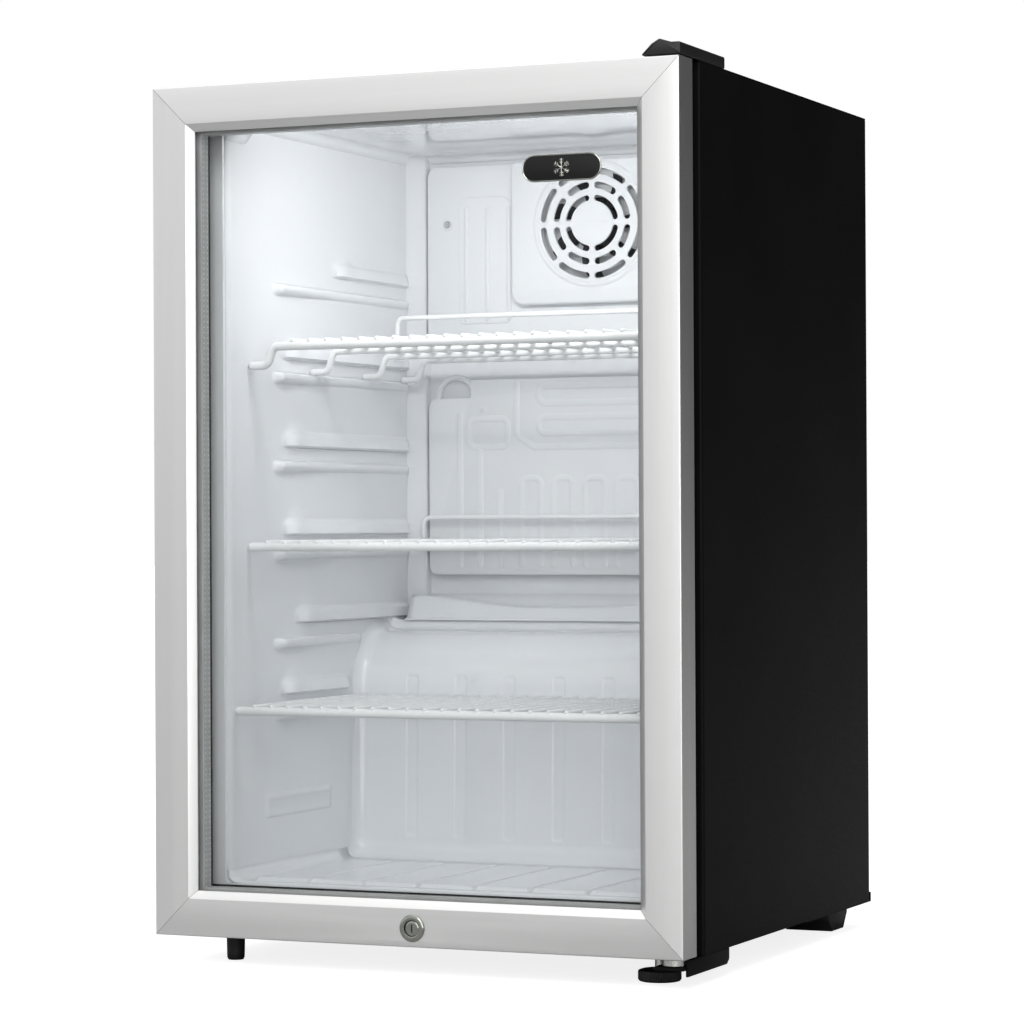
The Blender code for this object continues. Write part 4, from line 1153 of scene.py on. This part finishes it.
def build_compressor_bay():
    keep("base_tray", black_paint)
    low = near("compressor")
    high = far("compressor")
    centre = Vector(((low.x + high.x) / 2, (low.y + high.y) / 2, 0))
    can = [(0, 0.1480), (0.0150, 0.1473)]
    can += arc(0.0140, 0.1090, 0.0380, 72, 4, 8)
    can += [
        (0.0520, 0.1060), (0.0520, 0.0900), (0.0532, 0.0890), (0.0532, 0.0862), (0.0520, 0.0852),
        (0.0520, 0.0450), (0.0505, 0.0340), (0.0450, 0.0230), (0.0340, 0.0165), (0, 0.0120),
    ]
    shell = lathe(can, centre, "Z", 64)
    plate = rounded_box(
        (low.x, low.y + 0.004, 0.0105), (high.x, high.y - 0.004, 0.0130), 0.014, "Z", 0.0006, 6,
    )
    stub_radius = 0.0032
    stubs = [
        tube([(centre.x + 0.050, centre.y, 0.100), (high.x - 0.0255, centre.y, 0.100)], stub_radius),
        tube([(centre.x - 0.050, centre.y + 0.004, 0.115), (centre.x - 0.058, centre.y + 0.004, 0.115)],
             stub_radius),
    ]
    add(
        "compressor_can", merged(shell, plate, *stubs), black_paint, replaces=["compressor"],
        crease=40,
    )
    grommets = []
    bolts = []
    for dx in (-0.068, 0.068):
        for dy in (-0.038, 0.038):
            place = Vector((centre.x + dx, centre.y + dy, 0))
            grommets.append(lathe(
                [(0.0030, 0.0150), (0.0060, 0.0150), (0.0072, 0.0140), (0.0072, 0.0132), (0.0055, 0.0128),
                 (0.0055, 0.0100), (0.0075, 0.0092), (0.0082, 0.0060), (0.0078, -0.0007), (0.0030, -0.0007)],
                place, "Z", 28,
            ))
            bolts.append(screw_head(place + Vector((0, 0, 0.0152)), "Z", 0.0048, 0.0030))
    add("compressor_grommets", merged(*grommets), rubber_black)
    add("compressor_bolts", merged(*bolts), zinc)

    relay_low = near("relay_cover")
    relay_high = far("relay_cover")
    box = rounded_box(relay_low, relay_high, 0.005, "X", 0.0015, 6)
    clip = tube([
        (relay_low.x + 0.012, relay_low.y - 0.0008, relay_high.z + 0.001),
        (relay_low.x + 0.004, relay_low.y - 0.0008, relay_high.z + 0.001),
        (relay_low.x - 0.0010, relay_low.y + 0.010, relay_high.z - 0.008),
        (relay_low.x - 0.0010, relay_high.y - 0.010, relay_high.z - 0.008),
        (relay_low.x + 0.004, relay_high.y + 0.0008, relay_high.z + 0.001),
        (relay_low.x + 0.012, relay_high.y + 0.0008, relay_high.z + 0.001),
    ], 0.0008, 8, 0.003)
    add("relay_housing", box, textured_black, replaces=["relay_cover"])
    add("relay_clip", clip, zinc)

    pan_low = near("evaporation_pan")
    pan_high = far("evaporation_pan")
    outline = rounded(rectangle(pan_low.x, pan_high.x, pan_low.y, pan_high.y), 0.010, 6)
    wall = 0.0015
    levels = (
        (0.0040, pan_low.z), (0.0012, pan_low.z + 0.002), (0.0010, pan_high.z - 0.003),
        (0.0, pan_high.z - 0.002),
        (0.0, pan_high.z), (wall, pan_high.z), (wall + 0.0010, pan_high.z - 0.003),
        (wall + 0.0022, pan_low.z + 0.0030), (wall + 0.0060, pan_low.z + wall),
    )
    pan = skin([[(p[0], p[1], z) for p in inset_outline(outline, inset)] for inset, z in levels])
    add("evaporation_tray", pan, textured_black, replaces=["evaporation_pan"])

    drier_low = near("filter_drier")
    drier_high = far("filter_drier")
    middle = (drier_low + drier_high) / 2
    length = drier_high.z - drier_low.z
    shape = [
        (0, length), (0.0030, length), (0.0030, length - 0.008), (0.0045, length - 0.011),
        (0.0092, length - 0.016),
        (0.0100, length - 0.020), (0.0100, 0.020), (0.0092, 0.016), (0.0045, 0.011), (0.0030, 0.008),
        (0.0030, 0), (0, 0),
    ]
    add(
        "copper_filter_drier", lathe(shape, (middle.x, middle.y, drier_low.z), "Z", 36), copper,
        replaces=["filter_drier"],
    )
    rear = far("condenser").y - 0.0062 + 0.0024
    discharge = [
        (centre.x + 0.0528, centre.y, 0.100), (0.130, centre.y, 0.100), (0.150, 0.395, 0.105),
        (0.160, 0.430, 0.120),
        (0.165, 0.449, 0.150), (0.165, rear, 0.170), (0.165, rear, 0.2393),
    ]
    add(
        "discharge_pipe", tube(discharge, 0.0022, 12, 0.012), copper, replaces=["discharge_line"],
    )
    suction = [
        (centre.x - 0.0530, centre.y, 0.122), (-0.050, 0.382, 0.124), (-0.072, 0.395, 0.136),
        (-0.080, 0.412, 0.165),
        (-0.080, 0.415, 0.2045),
    ]
    add("suction_return_pipe", tube(suction, 0.0030, 12, 0.016), copper, replaces=["return_line"])

    half = 0.165
    pitch = 0.048
    bottom = 0.262
    passes = 8
    route = [(half, rear, 0.240)]
    for i in range(passes):
        side = 1 if i % 2 == 0 else -1
        route.append((side * half, rear, bottom + pitch * i))
        route.append((-side * half, rear, bottom + pitch * i))
    coil = tube(route, 0.0024, 12, 0.021)
    wires = []
    top = bottom + pitch * (passes - 1)
    for i in range(34):
        x = -0.1435 + 0.0087 * i
        for depth in (-0.0031, 0.0031):
            if depth < 0 and abs(abs(x) - 0.143) < 0.006:
                continue
            wires.append(tube([(x, rear + depth, bottom - 0.008), (x, rear + depth, top + 0.008)], 0.0007, 6))
    add("condenser_coil", merged(coil, *wires), black_paint, replaces=["condenser"])
    for side in ("left", "right"):
        name = f"condenser_bracket_{side}"
        bracket = rounded_box(near(name), far(name), 0.0025, "Y", 0.0005)
        add(f"{name}_bar", bracket, black_paint, replaces=[name])
    gland_low = near("cord_gland")
    gland_high = far("cord_gland")
    gland = [
        (0.0035, 0.0080), (0.0048, 0.0080), (0.0056, 0.0074), (0.0066, 0.0058), (0.0066, 0.0022),
        (0.0092, 0.0018), (0.0100, 0.0010), (0.0100, 0), (0.0035, 0),
    ]
    place = ((gland_low.x + gland_high.x) / 2, gland_low.y, (gland_low.z + gland_high.z) / 2)
    add("cord_gland_bush", lathe(gland, place, "back", 36), textured_black, replaces=["cord_gland"])


# --------------------------------------------------------------------- feet


def build_feet():
    leg_low = near("front_leg_left")
    leg_high = far("front_leg_left")
    centre = (leg_low + leg_high) / 2
    leg = [
        (0, 0.0222), (0.0078, 0.0222), (0.0078, 0.0190), (0.0074, 0.0182), (0.0071, 0.0060), (0.0069, 0.0016),
        (0.0060, 0), (0, 0),
    ]
    add(
        "tapered_leg", lathe(leg, (centre.x, centre.y, FLOOR_Z), "Z", 40), textured_black,
        replaces=["front_leg_left"],
    )
    disc = [
        (0, 0.0220), (0.0030, 0.0220), (0.0030, 0.0100), (0.0052, 0.0094), (0.0140, 0.0089), (0.0160, 0.0082),
        (0.0165, 0.0074), (0.0165, 0.0016), (0.0155, 0.0003), (0.0145, 0), (0, 0),
    ]
    knurled = lathe(
        disc, FOOT, "Z", 168,
        ripple=lambda k, height: 0.00055 * (k % 3 == 0) if 0.001 < height < 0.008 else 0,
    )
    add("knurled_foot", knurled, textured_black, "foot", ["levelling_foot"], crease=30)
    stud = lathe([(0.0031, 0.0215), (0.0031, 0.0096), (0.0036, 0.0096), (0.0036, 0.0215)], FOOT, "Z", 28)
    add("foot_thread_sleeve", stud, zinc, "foot")
    for name in ("left", "right"):
        low = near(f"rear_foot_{name}")
        high = far(f"rear_foot_{name}")
        wedge = rounded(
            [(low.y, -0.0120), (low.y + 0.010, low.z), (low.y + 0.040, low.z), (high.y, -0.010),
             (high.y, high.z), (low.y, high.z)],
            0.002, 4,
        )
        add(
            f"rear_wedge_{name}", slab(wedge, "X", low.x, high.x, 0.0012), textured_black,
            replaces=[f"rear_foot_{name}"],
        )


# ------------------------------------------------------------------- hinges


def build_hinges():
    keep("top_hinge_bracket", black_paint)
    keep("top_hinge_pin", zinc, 0)
    low = near("top_hinge_cover")
    high = far("top_hinge_cover")
    profile = rounded(
        [(low.x, low.z), (high.x, low.z), (high.x, high.z - 0.0028), (high.x - 0.0075, high.z - 0.0028),
         (high.x - 0.0165, high.z), (low.x + 0.0135, high.z), (low.x + 0.0075, high.z - 0.0034),
         (low.x, high.z - 0.0108)],
        [0.0008, 0.0008, 0.0016, 0.003, 0.004, 0.004, 0.003, 0.002], 4,
    )
    shell = slab(profile, "Y", low.y, high.y, 0.0012)
    add("hinge_cap", shell, textured_black, replaces=["top_hinge_cover"], crease=40)

    joggle = rounded(
        [(0.006, -0.0075), (0.040, -0.0075), (0.0425, -0.0028), (0.100, -0.0028), (0.100, -0.0003),
         (0.0405, -0.0003), (0.038, -0.0050), (0.006, -0.0050)],
        [0, 0.002, 0.002, 0, 0, 0.001, 0.001, 0], 4,
    )
    plate = slab(joggle, "X", 0.1965, 0.2200)
    tab = slab(rounded(rectangle(0.1655, 0.2180, 0.0425, 0.0995), [0.004, 0.002, 0.002, 0.004], 5), "Z",
               -0.0028, -0.0003)
    flange = slab(
        rounded([(0.012, -0.0125), (0.0955, -0.0125), (0.1005, -0.0090), (0.1005, -0.0003), (0.012, -0.0003)],
                [0.0008, 0.004, 0.003, 0.001, 0.0008], 5),
        "X", 0.2195, 0.2215, 0.0004,
    )
    add(
        "lower_hinge_plate", merged(plate, tab, flange), black_paint, replaces=["bottom_hinge_bracket"],
        crease=40,
    )
    screws = []
    for x, y in ((0.206, 0.060), (0.206, 0.088), (0.176, 0.088)):
        centre = Vector((x, y, -0.0028))
        screw = screw_head(centre, "Z")
        moved(screw, Matrix.Translation(centre) @ Matrix.Rotation(math.pi, 4,
            "X") @ Matrix.Translation(-centre))
        screws.append(screw)
    add("hinge_screws", merged(*screws), zinc)
    keep("bottom_hinge_pin", zinc, 0)
    washer_low = near("bottom_hinge_washer")
    washer_high = far("bottom_hinge_washer")
    centre = (washer_low + washer_high) / 2
    tall = washer_high.z - washer_low.z
    bush = [(0.0038, tall), (0.0094, tall), (0.0098, tall - 0.0005), (0.0098, 0.0005), (0.0094, 0),
            (0.0038, 0)]
    add(
        "hinge_bush", lathe(bush, (centre.x, centre.y, washer_low.z), "Z", 48), zinc,
        replaces=["bottom_hinge_washer"],
    )
    keep("lock_strike", zinc)


# --------------------------------------------------------------------- door


def rail_section():
    """Section of the door extrusion as (inwards, back), with softened outer edges."""
    edge = 0.0011
    return rounded(
        [(0, 0), (RAIL_FACE, 0), (RAIL_LIP, 0.0050), (RAIL_LIP, 0.0060), (0.0270, 0.0060),
         (0.0270, RAIL_DEPTH), (0, RAIL_DEPTH)],
        [edge, 0.0006, 0.0004, 0.0003, 0, 0.0006, edge], 4,
    )


def door_rail(name, upright, side):
    """One length of the door frame, mitred at both ends."""
    gap = 0.00022
    rings = []
    for end in (-1, 1):
        ring = []
        for inwards, back in rail_section():
            reach = inwards + gap
            if upright:
                z = DOOR_BOTTOM + reach if end < 0 else DOOR_TOP - reach
                ring.append((side * (HALF - 0.0001 - inwards), back, z))
            else:
                x = end * (HALF - reach)
                z = DOOR_TOP - inwards if side > 0 else DOOR_BOTTOM + inwards
                ring.append((x, back, z))
        rings.append(ring)
    material = aluminium_upright if upright else aluminium_across
    return add(
        f"{name}_extrusion", skin(rings), material, "door", [name], crease=28,
    )


def build_door():
    door_rail("door_rail_top", False, 1)
    bottom_rail = door_rail("door_rail_bottom", False, -1)
    door_rail("door_stile_left", True, -1)
    door_rail("door_stile_right", True, 1)
    bore = lathe(
        [(0, 0.005), (0.0086, 0.005), (0.0086, -0.040), (0, -0.040)], Vector((LOCK.x, 0, LOCK.z)) + ORIGIN,
        "front", 48,
    )
    cut(bottom_rail, bore)

    edges = (-HALF, HALF, DOOR_BOTTOM, DOOR_TOP)
    seal_depth = near("glazing_seal").y
    seal = [(0.0290, seal_depth), (0.0350, seal_depth), (0.0350, seal_depth + 0.001),
            (0.0290, seal_depth + 0.001)]
    add("glazing_strip", framed(seal, *edges), rubber_black, "door", ["glazing_seal"])
    for name in ("outer_pane", "inner_pane"):
        pane = rounded_box(near(name), far(name), 0.002, "Y", 0.0004)
        add(f"{name}_glass", pane, clear_glass, "door", [name])
    spacer_front = near("pane_spacer").y
    spacer_back = far("pane_spacer").y
    bar = rounded(
        [(0.0300, spacer_front), (0.0367, spacer_front), (0.0375, spacer_front + 0.0010),
         (0.0375, spacer_back - 0.0010), (0.0367, spacer_back), (0.0300, spacer_back)], 0.0003, 2,
    )
    add("spacer_bar", framed(bar, *edges), spacer_grey, "door", ["pane_spacer"])

    inner_front = near("door_inner_frame").y
    inner_back = far("door_inner_frame").y
    inner = rounded(
        [(0.0030, inner_front), (0.0347, inner_front), (0.0347, inner_front + 0.0020), (0.0330, inner_back),
         (0.0262, inner_back), (0.0262, inner_back - 0.0012), (0.0112, inner_back - 0.0012),
         (0.0112, inner_back),
         (0.0045, inner_back), (0.0030, inner_back - 0.0014)],
        0.0004, 2,
    )
    frame_item = add("inner_frame_moulding", framed(inner, *edges), textured_black, "door",
                     ["door_inner_frame"])
    cut(frame_item, lathe(
        [(0, 0.0), (0.0088, 0.0), (0.0088, -0.045), (0, -0.045)], Vector((LOCK.x, 0, LOCK.z)) + ORIGIN,
        "front", 40,
    ))

    gasket_low = near("door_gasket")
    gasket_high = far("door_gasket")
    start = gasket_low.y
    end = gasket_high.y
    bellows = [
        (0.0030, start), (0.0100, start), (0.0092, start + 0.0022), (0.0118, start + 0.0042),
        (0.0112, start + 0.0060),
        (0.0130, start + 0.0080), (0.0126, end - 0.0006), (0.0118, end), (0.0012, end),
        (0.0004, end - 0.0006),
        (0.0, start + 0.0080), (0.0018, start + 0.0060), (0.0012, start + 0.0042), (0.0038, start + 0.0022),
    ]
    add(
        "bellows_gasket", framed(rounded(bellows, 0.0004, 2), gasket_low.x, gasket_high.x, gasket_low.z,
                                 gasket_high.z),
        rubber_black, "door", ["door_gasket"],
    )
    build_badge()
    build_lock()


def build_badge():
    low = near("door_badge")
    high = far("door_badge")
    centre = (low + high) / 2
    outline = rounded(rectangle(low.x, high.x, low.z, high.z), 0.0104, 12)
    add(
        "badge_pill", slab(inset_outline(outline, 0.0004), "Y", low.y + 0.0001, high.y, 0.0004), gloss_black,
        "door", ["door_badge"],
    )
    rim = [(p[0], low.y + 0.0004, p[1]) for p in inset_outline(outline, 0.0008)]
    trim = [tube(rim, 0.0006, 8, closed=True)]
    face = low.y + 0.0001
    arm = 0.0066
    for i in range(6):
        angle = math.radians(90 + 60 * i)
        tip = Vector((math.cos(angle), 0, math.sin(angle)))
        start = Vector((centre.x, face, centre.z))
        trim.append(tube([start, start + tip * arm], 0.00042, 8))
        for share, side in ((0.5, -1), (0.5, 1), (0.78, -1), (0.78, 1)):
            fork = angle + side * math.radians(55)
            root = start + tip * arm * share
            length = arm * 0.26
            trim.append(tube([root, root + Vector((math.cos(fork), 0, math.sin(fork))) * length], 0.00034, 8))
    add("badge_trim", merged(*trim), chrome_painted_reflection, "door")


def build_lock():
    flange = [
        (0.0063, 0.0013), (0.0078, 0.0015), (0.0094, 0.0013), (0.0103, 0.0007), (0.0105, 0.0003),
        (0.0083, 0.0003), (0.0083, -0.0290), (0.0063, -0.0290),
    ]
    thread = lathe(
        [(0.0063, -0.0290), (0.0080, -0.0290), (0.0080, -0.0350), (0.0063, -0.0350)], (LOCK.x, 0, LOCK.z),
        "front", 48,
    )
    body = lathe(flange, (LOCK.x, 0, LOCK.z), "front", 64)
    add("lock_flange", merged(body, thread), chrome_painted_reflection, "door", ["lock_body"])
    barrel = lathe(
        [(0, 0.0006), (0.0040, 0.0007), (0.0054, 0.0006), (0.0059, 0.0002), (0.0059, -0.0355),
         (0.0035, -0.0355),
         (0.0035, -0.0385), (0, -0.0385)],
        (LOCK.x, 0, LOCK.z), "front", 48,
    )
    item = add("lock_plug", barrel, chrome_painted_reflection, "lock", ["lock_barrel"])
    place = Vector((LOCK.x, 0, LOCK.z)) + ORIGIN
    cut(item, slab(rectangle(place.x - 0.0005, place.x + 0.0005, place.z - 0.0031, place.z + 0.0031), "Y",
                   place.y - 0.003, place.y + 0.004))
    keep("lock_cam", zinc)


# ------------------------------------------------------------------ shelves


WIRE_PITCH = 0.015
SHELF_HALF = 0.1825


def shelf(node_name, body, bars, count, span, wire_z, rail, thin):
    """A coated wire shelf: cross bars, close wires front to back, and a raised rail."""
    pieces = list(bars)
    for i in range(count):
        x = (i - (count - 1) / 2) * WIRE_PITCH
        pieces.append(tube([(x, span[0], wire_z), (x, span[1], wire_z)], thin, 12))
    if rail:
        y, half, top = rail
        foot = wire_z - 0.0030
        path = [(-half, y, foot), (-half, y, top), (half, y, top), (half, y, foot)]
        pieces.append(tube(path, thin, 12, 0.006))
    add(
        f"{node_name}_rack", merged(*pieces), wire_white, body, [node_name], crease=50,
    )


def cross_bar(y, z, radius, foot=None):
    """A bar across the shelf. With a foot height, its ends step down to the guides."""
    end = SHELF_HALF - radius * 0.9
    if foot is None:
        return tube([(-end, y, z), (end, y, z)], radius, 16)
    knee = 0.1628
    path = [
        (-end, y, foot), (-knee - 0.0030, y, foot), (-knee + 0.0024, y, z),
        (knee - 0.0024, y, z), (knee + 0.0030, y, foot), (end, y, foot),
    ]
    return tube(path, radius, 16, 0.0062)


def build_shelves():
    thin = 0.0021
    thick = 0.0036
    support = 0.0028
    top_z = 0.467
    guide = GUIDE_TOPS[1]
    bars = [cross_bar(0.085, top_z, thick, guide + thick + 0.0005)]
    bars += [cross_bar(y, top_z + 0.0008, support, guide + support + 0.0003) for y in (0.192, 0.291, 0.3675)]
    shelf("top_shelf", "shelf_top", bars, 20, (0.0842, 0.3700), top_z + 0.0040, (0.291, 0.149, 0.5005), thin)
    for node_name, body, guide, places, rail in (
        ("middle_shelf", "shelf_middle", GUIDE_TOPS[3], (0.083, 0.185, 0.285, 0.386),
         (0.386, 0.1700, 0.3294)),
        ("bottom_shelf", "shelf_bottom", GUIDE_TOPS[5], (0.060, 0.158, 0.256), None),
    ):
        bar_z = guide + support + 0.0005
        bars = [cross_bar(places[0], guide + thick - 0.0003, thick)]
        bars += [cross_bar(y, bar_z, support) for y in places[1:]]
        shelf(node_name, body, bars, 23, (places[0] - 0.0008, places[-1] + 0.0030), bar_z + 0.0034, rail,
              thin)


# -------------------------------------------------------------------- stage


CAMERA_PLACE = Vector((1.112, -2.319, 0.320))
CAMERA_TURN = math.radians(23.859)
CAMERA_RISE = math.radians(0.272)
CAMERA_ROLL = math.radians(-0.268)
CAMERA_LENS = 118.6


def build_camera():
    forward = Vector((
        -math.sin(CAMERA_TURN) * math.cos(CAMERA_RISE), math.cos(CAMERA_TURN) * math.cos(CAMERA_RISE),
        math.sin(CAMERA_RISE),
    ))
    level = Vector((math.cos(CAMERA_TURN), math.sin(CAMERA_TURN), 0))
    upward = level.cross(forward)
    right = level * math.cos(CAMERA_ROLL) + upward * math.sin(CAMERA_ROLL)
    up = upward * math.cos(CAMERA_ROLL) - level * math.sin(CAMERA_ROLL)
    data = bpy.data.cameras.new("camera")
    data.lens = CAMERA_LENS
    data.sensor_width = 36.0
    data.clip_start = 0.05
    camera = bpy.data.objects.new("camera", data)
    turn = Matrix((right, up, -forward)).transposed().to_4x4()
    camera.matrix_world = Matrix.Translation(CAMERA_PLACE + ORIGIN) @ turn
    bpy.context.scene.collection.objects.link(camera)
    bpy.context.scene.camera = camera


def area_light(name, place, target, size, power, color=(1, 0.99, 0.978), seen=True):
    data = bpy.data.lights.new(name, "AREA")
    data.shape = "RECTANGLE"
    data.size, data.size_y = size
    data.energy = power
    data.color = color
    light = bpy.data.objects.new(name, data)
    light.location = place
    light.visible_camera = seen
    light.visible_glossy = seen
    light.rotation_euler = (Vector(target) - Vector(place)).to_track_quat("-Z", "Y").to_euler()
    bpy.context.scene.collection.objects.link(light)


def build_stage():
    bpy.context.scene.view_settings.view_transform = "Standard"
    world = bpy.data.worlds.new("studio")
    bpy.context.scene.world = world
    world.use_nodes = True
    tree = world.node_tree
    tree.nodes.clear()
    output = node(tree, "ShaderNodeOutputWorld")
    backdrop = node(tree, "ShaderNodeBackground", Color=(1, 1, 1, 1), Strength=1.0)
    ambient = node(tree, "ShaderNodeBackground", Strength=0.9)
    place = node(tree, "ShaderNodeTexCoord")
    axes = node(tree, "ShaderNodeSeparateXYZ")
    tree.links.new(place.outputs["Generated"], axes.inputs["Vector"])
    behind = node(tree, "ShaderNodeMath", operation="ADD")
    tree.links.new(axes.outputs["X"], behind.inputs[0])
    tree.links.new(axes.outputs["Y"], behind.inputs[1])
    shade = tint(tree, remap(tree, behind.outputs[0], 0.0, 1.0, 0.1, 1.2), (1, 1, 1), (0.04, 0.04, 0.042))
    tree.links.new(shade, ambient.inputs["Color"])
    path = node(tree, "ShaderNodeLightPath")
    mixer = node(tree, "ShaderNodeMixShader")
    tree.links.new(path.outputs["Is Camera Ray"], mixer.inputs["Fac"])
    tree.links.new(ambient.outputs["Background"], mixer.inputs[1])
    tree.links.new(backdrop.outputs["Background"], mixer.inputs[2])
    tree.links.new(mixer.outputs["Shader"], output.inputs["Surface"])

    floor_material = bpy.data.materials.new("pale_floor")
    floor_material.use_nodes = True
    tree = floor_material.node_tree
    shader = tree.nodes["Principled BSDF"]
    shader.inputs["Base Color"].default_value = (0.5, 0.5, 0.5, 1)
    shader.inputs["Roughness"].default_value = 0.9
    shader.inputs["Specular IOR Level"].default_value = 0.0
    shader.inputs["Emission Color"].default_value = (1, 1, 1, 1)
    shader.inputs["Emission Strength"].default_value = 0.84
    dull = node(tree, "ShaderNodeBsdfDiffuse", Color=(0.42, 0.42, 0.42, 1))
    path = node(tree, "ShaderNodeLightPath")
    mixer = node(tree, "ShaderNodeMixShader")
    tree.links.new(path.outputs["Is Camera Ray"], mixer.inputs["Fac"])
    tree.links.new(dull.outputs["BSDF"], mixer.inputs[1])
    tree.links.new(shader.outputs["BSDF"], mixer.inputs[2])
    tree.links.new(mixer.outputs["Shader"], tree.nodes["Material Output"].inputs["Surface"])
    shape = bmesh.new()
    bmesh.ops.create_circle(shape, cap_ends=True, segments=96, radius=30.0)
    mesh = bpy.data.meshes.new("pale_floor")
    shape.to_mesh(mesh)
    shape.free()
    mesh.materials.append(floor_material)
    floor = bpy.data.objects.new("pale_floor", mesh)
    bpy.context.scene.collection.objects.link(floor)

    area_light("key", (0.9, -2.7, 2.3), (0, 0, 0.35), (1.4, 1.4), 34)
    area_light("front_fill", (1.3, -2.6, 0.5), (0, 0, 0.30), (1.9, 1.9), 22)
    area_light("overhead", (-0.4, -0.4, 2.6), (0, 0, 0), (2.0, 2.0), 10)
    inside = ORIGIN + Vector((0.06, 0.055, 0.628))
    area_light("inside_top", inside, inside + Vector((-0.1, 0.5, -0.14)), (0.22, 0.02), 0.55, seen=False)


build_shell()
build_liner()
build_evaporator()
build_fan_cover()
build_fan()
build_drip_trough()
build_controls()
build_compressor_bay()
build_feet()
build_hinges()
build_door()
build_shelves()
build_camera()
build_stage()
